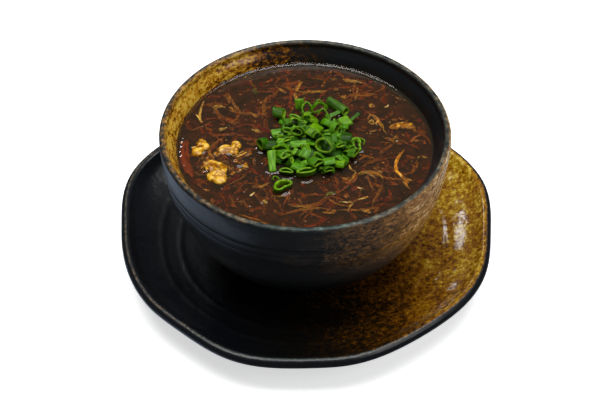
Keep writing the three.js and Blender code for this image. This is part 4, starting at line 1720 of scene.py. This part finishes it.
@dataclass(frozen=True)
class CutScallion:
    """A cut length of hollow scallion leaf, leaning one way, with slanting ends."""

    x: float
    y: float
    up: float
    radius: float
    length: float
    lean: float
    turn: float
    oval: float = 1.0
    slant: float = 0.0
    wall: float = 0.0  # 0 for one worked out from the radius
    sweep: float = 360.0
    pale: float = field(kw_only=True)  # how far its greens turn to pale ones

    @property
    def thick(self) -> float:
        """The wall's thickness."""
        return self.wall or min(1.5, max(0.8, 0.3 * self.radius))

    @property
    def reach(self) -> float:
        """How far it reaches from its middle."""
        return max(self.radius, self.length / 2)

    def profile(self) -> tuple[list[Pair], list[float]]:
        """Works out the wall's section.

        Returns:
            A closed ring of (radius, height) points, and for each 0 inside, 0.5 on the cut, 1 outside.
        """
        half, inner, soft = self.length / 2, self.radius - self.thick, self.thick * 0.22
        middle = self.radius - self.thick / 2
        steps = max(2, round(self.length / 1.2))
        heights = [blend(soft - half, half - soft, step / steps) for step in range(steps + 1)]
        outer = [(self.radius, height) for height in heights]
        top = [(self.radius - soft, half), (middle, half + 0.02), (inner + soft, half)]
        within = [(inner, height) for height in reversed(heights)]
        foot = [(inner + soft, -half), (middle, -half - 0.02), (self.radius - soft, -half)]
        points = [*outer, *top, *within, *foot, outer[0]]
        sides = [1.0] * len(outer) + [0.75, 0.5, 0.25] + [0.0] * len(within) + [0.25, 0.5, 0.75, 1.0]
        return points, sides

    def colours(self, draw: random.Random) -> tuple[Vector, Vector, Vector]:
        """Draws the piece's own greens.

        Args:
            draw: The seeded draws.

        Returns:
            The linear colours of its inside, its cut and its outside.
        """
        pale = min(1.0, max(0.0, self.pale + draw.uniform(-0.25, 0.2)))
        flesh = toned(draw.choice(FLESH_GREENS), "#8cb03c", pale * 0.6)
        cut = toned("#749c10", "#a8c85c", pale * 0.6)
        return flesh, cut, toned(draw.choice(SKIN_GREENS), "#7cae44", pale * 0.8)

    def mesh(self, draw: random.Random, lowest: Optional[float] = None) -> Mesh:
        """Makes the cut piece where it lies.

        Args:
            draw: The seeded draws, for its colour and unevenness.
            lowest: The height that its lowest point is brought to, where its own height isn't given.

        Returns:
            The piece, with the attributes tint and veins.
        """
        points, sides = self.profile()
        segments = max(12, round(6.5 * self.radius * self.sweep / 360))
        mesh = spun(points, segments, {"side": sides}, self.sweep)
        side = mesh.verts.layers.float["side"]
        tint = mesh.verts.layers.float_color.new("tint")
        veins = mesh.verts.layers.float_vector.new("veins")
        seed = draw.uniform(0, 200)
        dent, pinch = draw.uniform(0.0, 0.45), draw.uniform(-0.3, 0.3)
        flesh, cut, skin = self.colours(draw)
        for vertex in mesh.verts:
            x, y, z = vertex.co
            around, depth = math.atan2(y, x), self.radius - math.hypot(x, y)
            share = vertex[side]
            colour = flesh.lerp(cut, share * 2) if share < 0.5 else cut.lerp(skin, share * 2 - 1)
            vertex[tint] = tuple(colour * (1 + 0.35 * noise.noise(Vector((around, z * 0.2, seed)))))
            vertex[veins] = (math.cos(around) * self.radius + seed, math.sin(around) * self.radius, z * 0.1)
            # The wall keeps its thickness where the leaf is squashed, and one side is pushed in.
            swell = 1 + 0.14 * noise.noise(Vector((math.cos(around), math.sin(around), seed + z * 0.1)))
            flat = self.oval * (1 + pinch * z / self.length)
            half_wide = max(0.12, self.radius * swell * flat - depth)
            half_long = max(0.2, self.radius * swell * min(1.12, 1 + 0.25 * (1 - flat)) - depth)
            push = dent * self.radius * flat * math.exp(-((math.sin(around) / 0.55) ** 2))
            vertex.co.x = half_wide * math.cos(around) - push
            vertex.co.y = half_long * math.sin(around)
            vertex.co.z = z + self.slant * vertex.co.x
        place = Matrix.Translation((self.x, self.y, GARNISH_BASE + self.up))
        turn, lean = math.radians(self.turn), math.radians(self.lean)
        turned = Matrix.Rotation(turn, 4, "Z") @ Matrix.Rotation(lean, 4, "Y")
        bmesh.ops.transform(mesh, matrix=place @ turned, verts=mesh.verts)
        if lowest is not None:
            low = min(vertex.co.z for vertex in mesh.verts)
            bmesh.ops.translate(mesh, vec=(0, 0, lowest - low), verts=mesh.verts)
        return mesh


# The solid heap's pieces: x, y, height, radius, length, lean, turn and how round each is.
HEAP_PIECES = (
    (-3, 28, 5, 2.4, 6, 25, 100, 0.6), (1, 23.5, 5, 3.4, 4, 60, -80, 1.3), (7.5, 24, 5, 4.8, 3, 55, -70, 1),
    (-5, 16, 5, 3.6, 3.4, 40, -130, 0.75), (-9.5, 14, 3.5, 2.7, 4.5, 75, 200, 0.8),
    (-9, 5, 5.5, 3.4, 3.5, 55, -100, 0.8), (-15.5, 5, 3, 3.1, 5.2, 88, 10, 0.9),
    (-3, 1, 7, 4.6, 4, 50, -110, 0.9), (5, 1, 8.5, 4.6, 6.5, 75, 150, 0.8),
    (13, 8.5, 7, 4.2, 4, 65, 60, 0.8), (16, 3.5, 7, 4.2, 3.6, 70, -25, 1.15),
    (22.5, 14, 4, 3.6, 6, 80, 25, 0.9),
    (-23, -4, 3.4, 3.6, 4.5, 75, 215, 1.15), (-13, -10.5, 5, 4.6, 4, 55, -100, 0.9),
    (-3.5, -8.5, 7.4, 2.1, 8.4, 86, 5, 0.8), (-18, -18, 3.2, 1.9, 12, 62, 95, 0.6),
    (-10.5, -14, 4.5, 3.9, 4.4, 60, -60, 0.85), (0, -16, 7, 2.7, 6, 70, 60, 0.8),
    (11, -11.5, 8, 5.4, 5, 50, -120, 1.1), (22, -1, 5, 3.4, 6, 84, 175, 0.95),
    (26, -11.5, 3, 3.4, 5, 60, -30, 0.8), (5, -21, 5.5, 3.3, 7, 70, -50, 0.8),
    (-8, -18.5, 3, 2.6, 4, 30, 0, 0.8), (-4, -22.5, 3.2, 2.5, 7, 86, -30, 0.8),
    (0.5, -26, 2.6, 5, 4.4, 18, -75, 0.75), (12, -24, 3.2, 2.8, 6, 60, -70, 0.8),
    (19, -19, 2.4, 2.8, 5.5, 80, -20, 0.8), (-10, -25, 2, 3.6, 3, 25, -100, 0.8),
    (29, -2, 1.2, 5, 1.6, 12, 0, 1), (18.5, -6.5, 5, 2.6, 4.5, 60, -60, 0.8),
    (13, -19.5, 4.6, 2.6, 6.6, 88, 10, 0.6), (-19, -6, 4, 3, 6, 80, -10, 0.9),
    (-10.5, -2, 5, 2.4, 3.4, 60, -60, 0.8),
)
PALE_PIECES = (6, 14, 15, 17)


@dataclass
class ScallionHeap:
    """The heap of cut scallions in the middle of the soup, over its own small core."""

    x: float = 3.0
    y: float = -1.0
    radius: float = 25.5
    height: float = 7.5
    seed: int = 5
    slivers: int = 90

    def pieces(self) -> list[CutScallion]:
        """Lists the pieces that the solid heap has.

        Returns:
            Those pieces, with the same slants.
        """
        found = []
        for index, (x, y, up, radius, length, lean, turn, oval) in enumerate(HEAP_PIECES):
            slant = 0.35 * math.sin(2.4 * index)
            pale = 0.8 if index in PALE_PIECES else 0.15
            flat = oval * (0.62 if oval <= 1 else 0.8)
            found.append(CutScallion(x, y, up, radius, length, lean, turn, flat, slant, pale=pale))
        return found

    def curls(self) -> list[CutScallion]:
        """Returns the thin curls and blades that fall out of the heap."""
        thin = {"wall": 0.5, "pale": 0.3}
        return [
            CutScallion(29.5, -2, 0.9, 5.6, 1.4, 8, 0, sweep=200, **thin),
            CutScallion(28.5, -2.5, 1.6, 4.2, 1.3, 14, 40, sweep=170, **thin),
            CutScallion(16, 22, 2.4, 1.3, 8, 84, 30, oval=0.5, **thin),
            CutScallion(27.7, 19.8, 2.2, 1.0, 7, 70, 40, oval=0.5, **thin),
            CutScallion(-15.7, -29.3, 0.4, 2.2, 1.2, 20, 10, sweep=210, **thin),
            CutScallion(8, 24.5, 6.0, 3.1, 2.6, 50, -75, sweep=250, wall=0.6, pale=0.4),
            CutScallion(22, 6.5, 4.6, 3.0, 3.4, 75, 80, sweep=220, wall=0.7, pale=0.3),
            CutScallion(-6, 9.5, 6.4, 3.2, 3.0, 55, -60, sweep=240, wall=0.7, pale=0.4),
            CutScallion(1.5, 12, 6.6, 3.4, 3.4, 60, -120, sweep=260, wall=0.7, pale=0.2),
            CutScallion(10, 15.5, 6.2, 3.6, 3.2, 62, -95, sweep=250, wall=0.7, pale=0.3),
            CutScallion(6.5, -6.5, 9.4, 3.4, 3.6, 58, -65, sweep=240, wall=0.7, pale=0.35),
        ]

    def sliver(self, draw: random.Random) -> CutScallion:
        """Draws one narrow blade that fills a gap in the heap.

        Args:
            draw: The seeded draws.

        Returns:
            The blade.
        """
        share, around = math.sqrt(draw.random()), draw.uniform(0, math.tau)
        across, back = polar(self.radius * 0.95 * share, around)
        up = 1.2 + (self.height - 1.0) * (1 - share**2) + draw.uniform(-0.6, 0.8)
        return CutScallion(
            self.x + across, self.y + back, up, radius=draw.uniform(1.2, 3.0),
            length=draw.uniform(2.4, 5.5), lean=draw.uniform(40, 90), turn=draw.uniform(0, 360),
            oval=draw.uniform(0.3, 0.7), slant=draw.uniform(-0.4, 0.4), sweep=draw.choice([150, 210, 360]),
            pale=draw.uniform(0.0, 0.5),
        )

    def core(self) -> Mesh:
        """Makes the scallions at the bottom of the heap, which can't be told apart, in dark greens: painted
        shade deep in the heap.

        Returns:
            A low bumpy mound.
        """
        size, height = self.radius - 2.5, self.height - 1.2
        mesh = spun([(0, -2), (size, -2), (size, -0.5), (size * 0.72, height * 0.5),
                     (size * 0.4, height * 0.85), (0, height)], 48)
        bmesh.ops.subdivide_edges(mesh, edges=mesh.edges[:], cuts=2, use_grid_fill=True)
        tint = mesh.verts.layers.float_color.new("tint")
        veins = mesh.verts.layers.float_vector.new("veins")
        for vertex in mesh.verts:
            vertex.co += Vector((self.x, self.y, GARNISH_BASE))
            lump = noise.noise(vertex.co / 3.1)
            vertex.co.z += 1.1 * lump
            # painted shade: darker greens than the cut pieces, lighter on the mound's raised bumps
            vertex[tint] = tuple(toned("#142c04", "#35640c", 0.5 + lump))
            vertex[veins] = tuple(vertex.co * 0.6)
        return mesh

    def contacts(self) -> list[Contact]:
        """Returns where the heap's lowest pieces meet the soup."""
        low = [piece for piece in self.pieces() if piece.up < 4.2]
        return [Contact(piece.x, piece.y, piece.reach * 0.9, 0.5) for piece in low]

    def build(self, finish: Material) -> list[Piece]:
        """Makes the heap.

        Args:
            finish: The scallion material.

        Returns:
            The cut pieces and the mound under them.
        """
        draw = random.Random(self.seed)
        cut = bmesh.new()
        for piece in [*self.pieces(), *self.curls()]:
            append(cut, piece.mesh(draw))
        for _ in range(self.slivers):
            append(cut, self.sliver(draw).mesh(draw))
        return [
            settle("scallion_heap_cut_pieces", cut, finish, ["scallion_heap"],
                   crease=CUT_CREASE),
            settle("scallion_heap_mound", self.core(), finish, crease=SMOOTH),
        ]


# ---- The garnishes together ----


@dataclass(frozen=True)
class Garnishes:
    """What floats on the soup: the scallions, the egg curds and the strips, each in its place."""

    heap: ScallionHeap = field(default_factory=ScallionHeap)
    loose: tuple[tuple[str, CutScallion], ...] = (
        ("scallion_ring_front", CutScallion(-12, -36, 0, 5, 4.2, 14, -60, 0.6, 0.25, pale=0.1)),
        ("scallion_tube_left", CutScallion(-14.5, 23.5, 0, 3.6, 5.6, 86, -12, 0.8, 0.25, pale=0.3)),
        ("scallion_tube_right", CutScallion(18.5, 30, 0, 2.9, 13, 90, -44, 0.85, 0.25, pale=0.1)),
    )
    curds: tuple[EggCurd, ...] = (
        EggCurd("egg_curd_1", -57.6, -3.5, 13, 8.6, 3.2, 80, 4),
        EggCurd("egg_curd_2", -48.4, -23.5, 16, 12, 3.8, 100, 6),
        EggCurd("egg_curd_3", -40.2, -4.5, 11, 9, 3, 30, 3),
        EggCurd("egg_curd_4", -35.2, -15.4, 8, 6, 2.2, 150, 3),
    )
    strips: tuple[Strip, ...] = (
        Strip("carrot_strip", 4.4, 1.5, ((-65.6, 4), (-66.4, -6), (-64.8, -16), (-60.6, -26.5)), 2.3,
              CookedStrip("cooked_carrot", "#b85008", "#8e3804", "#5e2402"), "carrot"),
        Strip("bamboo_strip", 4.8, 1.6, ((47.4, 13.6), (52, 15.6), (57, 15.8), (62, 13.8)), 1.7,
              CookedStrip("cooked_bamboo_shoot", "#d09a34", "#ac7418", "#74440a"), "bamboo"),
        Strip("egg_ribbon", 1.8, 1.0,
              ((54.6, -4.5), (50.6, -12), (49.2, -20.5), (52.4, -27), (55.6, -31.5)), 1.1,
              CookedStrip("poached_egg_ribbon", "#cf9638", "#b06c18", "#80460a"), "egg"),
    )
    loose_seed: int = 17
    loose_sunk: float = 0.9  # how far each loose scallion dips into the soup
    strip_steps: int = 8

    def circles(self) -> list[Circle]:
        """Finds what the garnishes cover.

        Returns:
            Circles on the soup, which the shreds keep clear of.
        """
        found = [Circle(self.heap.x, self.heap.y, self.heap.radius + 5)]
        found += [Circle(curd.x, curd.y, curd.long * 0.55) for curd in self.curds]
        found += [Circle(cut.x, cut.y, cut.reach) for _, cut in self.loose]
        for strip in self.strips:
            found += [Circle(point.x, point.y, strip.width / 2) for point in strip.middle(self.strip_steps)]
        return found

    def contacts(self) -> list[Contact]:
        """Finds where the garnishes meet the soup.

        Returns:
            The contacts, which the soup creeps up on.
        """
        found = self.heap.contacts()
        found += [Contact(curd.x, curd.y, curd.wide * 0.42, 0.6) for curd in self.curds]
        found += [Contact(cut.x, cut.y, cut.reach * 0.8, 0.6) for _, cut in self.loose]
        for strip in self.strips:
            line = strip.middle(self.strip_steps)
            found += [Contact(point.x, point.y, strip.width * 0.4, 0.35) for point in line]
        return found

    def build(self) -> None:
        """Makes every garnish."""
        leaf = FreshScallion().build()
        self.heap.build(leaf)
        draw = random.Random(self.loose_seed)
        for name, cut in self.loose:
            mesh = cut.mesh(draw, lowest=GARNISH_BASE - self.loose_sunk)
            settle(f"{name}_cut", mesh, leaf, [name], crease=CUT_CREASE)
        egg = SoftEgg().build()
        SunkEgg().build(egg)
        for curd in self.curds:
            curd.build(egg)
        for strip in self.strips:
            strip.build()


# ---- The studio ----


@dataclass
class Studio:
    """A plain pale floor, soft lights and the camera at the photograph's angle."""

    lens: float = 85.0
    sensor: float = 36.0
    pitch: float = 43.92  # degrees below level
    camera_from_rim: tuple[float, float, float] = (-2.82, -585.93, 509.40)  # in millimetres
    floor_size: float = 6.0  # in metres
    aim: float = 0.07  # the height that the lights face, in metres

    def floor(self) -> None:
        """Makes the pale floor."""
        mesh = bmesh.new()
        bmesh.ops.create_grid(mesh, x_segments=1, y_segments=1, size=self.floor_size / 2)
        data = bpy.data.meshes.new("studio_floor")
        mesh.to_mesh(data)
        mesh.free()
        data.materials.append(MatteBoard().build())
        floor = bpy.data.objects.new("studio_floor", data)
        bpy.context.scene.collection.objects.link(floor)
        floor.visible_glossy = False

    def softbox(self, name: str, azimuth: float, elevation: float, distance: float, size: Pair,
                power: float, colour: str = "#ffffff") -> None:
        """Hangs one soft light that faces the bowl.

        Args:
            name: The light's name.
            azimuth: Its bearing in degrees, from the front towards +X.
            elevation: Its height in degrees above level.
            distance: How far it hangs from the bowl, in metres.
            size: Its width and height in metres.
            power: Its power in watts.
            colour: The light's colour.
        """
        data = bpy.data.lights.new(name, "AREA")
        data.color = linear(colour)[:3]
        data.shape = "RECTANGLE"
        data.size, data.size_y = size
        data.energy = power
        light = bpy.data.objects.new(name, data)
        turn, rise = math.radians(azimuth), math.radians(elevation)
        away = Vector((math.sin(turn) * math.cos(rise), -math.cos(turn) * math.cos(rise), math.sin(rise)))
        light.location = away * distance + Vector((0, 0, self.aim))
        light.rotation_euler = away.to_track_quat("Z", "Y").to_euler()
        bpy.context.scene.collection.objects.link(light)

    def lights(self) -> None:
        """Hangs the lights and sets the room's faint light."""
        self.softbox("overhead", 180, 84, 1.3, (1.4, 0.9), 27)
        self.softbox("window_back_left", 204, 33, 1.4, (0.16, 0.13), 1.0)
        self.softbox("low_window_back", 193, 14, 1.4, (0.12, 0.08), 0.6)
        self.softbox("lit_floor_left", 262, -50, 1.0, (1.1, 0.9), 2.4, "#c4d8f4")
        self.softbox("fill_right", 60, 40, 1.8, (0.9, 0.9), 6)
        world = bpy.data.worlds.new("studio_room")
        world.use_nodes = True
        room = world.node_tree.nodes["Background"]
        room.inputs["Color"].default_value = linear("#e0e8f4")
        room.inputs["Strength"].default_value = 0.12
        bpy.context.scene.world = world

    def camera(self) -> None:
        """Sets the camera where the photograph was taken from."""
        data = bpy.data.cameras.new("camera")
        data.lens, data.sensor_width = self.lens, self.sensor
        data.clip_end = 50
        camera = bpy.data.objects.new("camera", data)
        rim = AXIS + Vector((0, 0, BOWL_HIGH.z))
        camera.location = rim + Vector(self.camera_from_rim) * MM
        camera.rotation_euler = (math.radians(90 - self.pitch), 0, 0)
        bpy.context.scene.collection.objects.link(camera)
        bpy.context.scene.camera = camera

    def build(self) -> None:
        """Sets up the floor, the lights and the camera."""
        self.floor()
        self.lights()
        self.camera()
        bpy.context.scene.view_settings.view_transform = "Standard"


def main() -> None:
    """Builds the dish and its studio, in order."""
    logging.basicConfig(level=logging.INFO, format="%(message)s")
    Underplate().build()
    Bowl().build()
    garnishes = Garnishes()
    shreds = ShredMaker(garnishes.circles())
    Soup([*shreds.contacts(), *garnishes.contacts()]).build()
    shreds.build()
    Bubbles().build()
    garnishes.build()
    Studio().build()


if __name__ == "__main__":
    main()
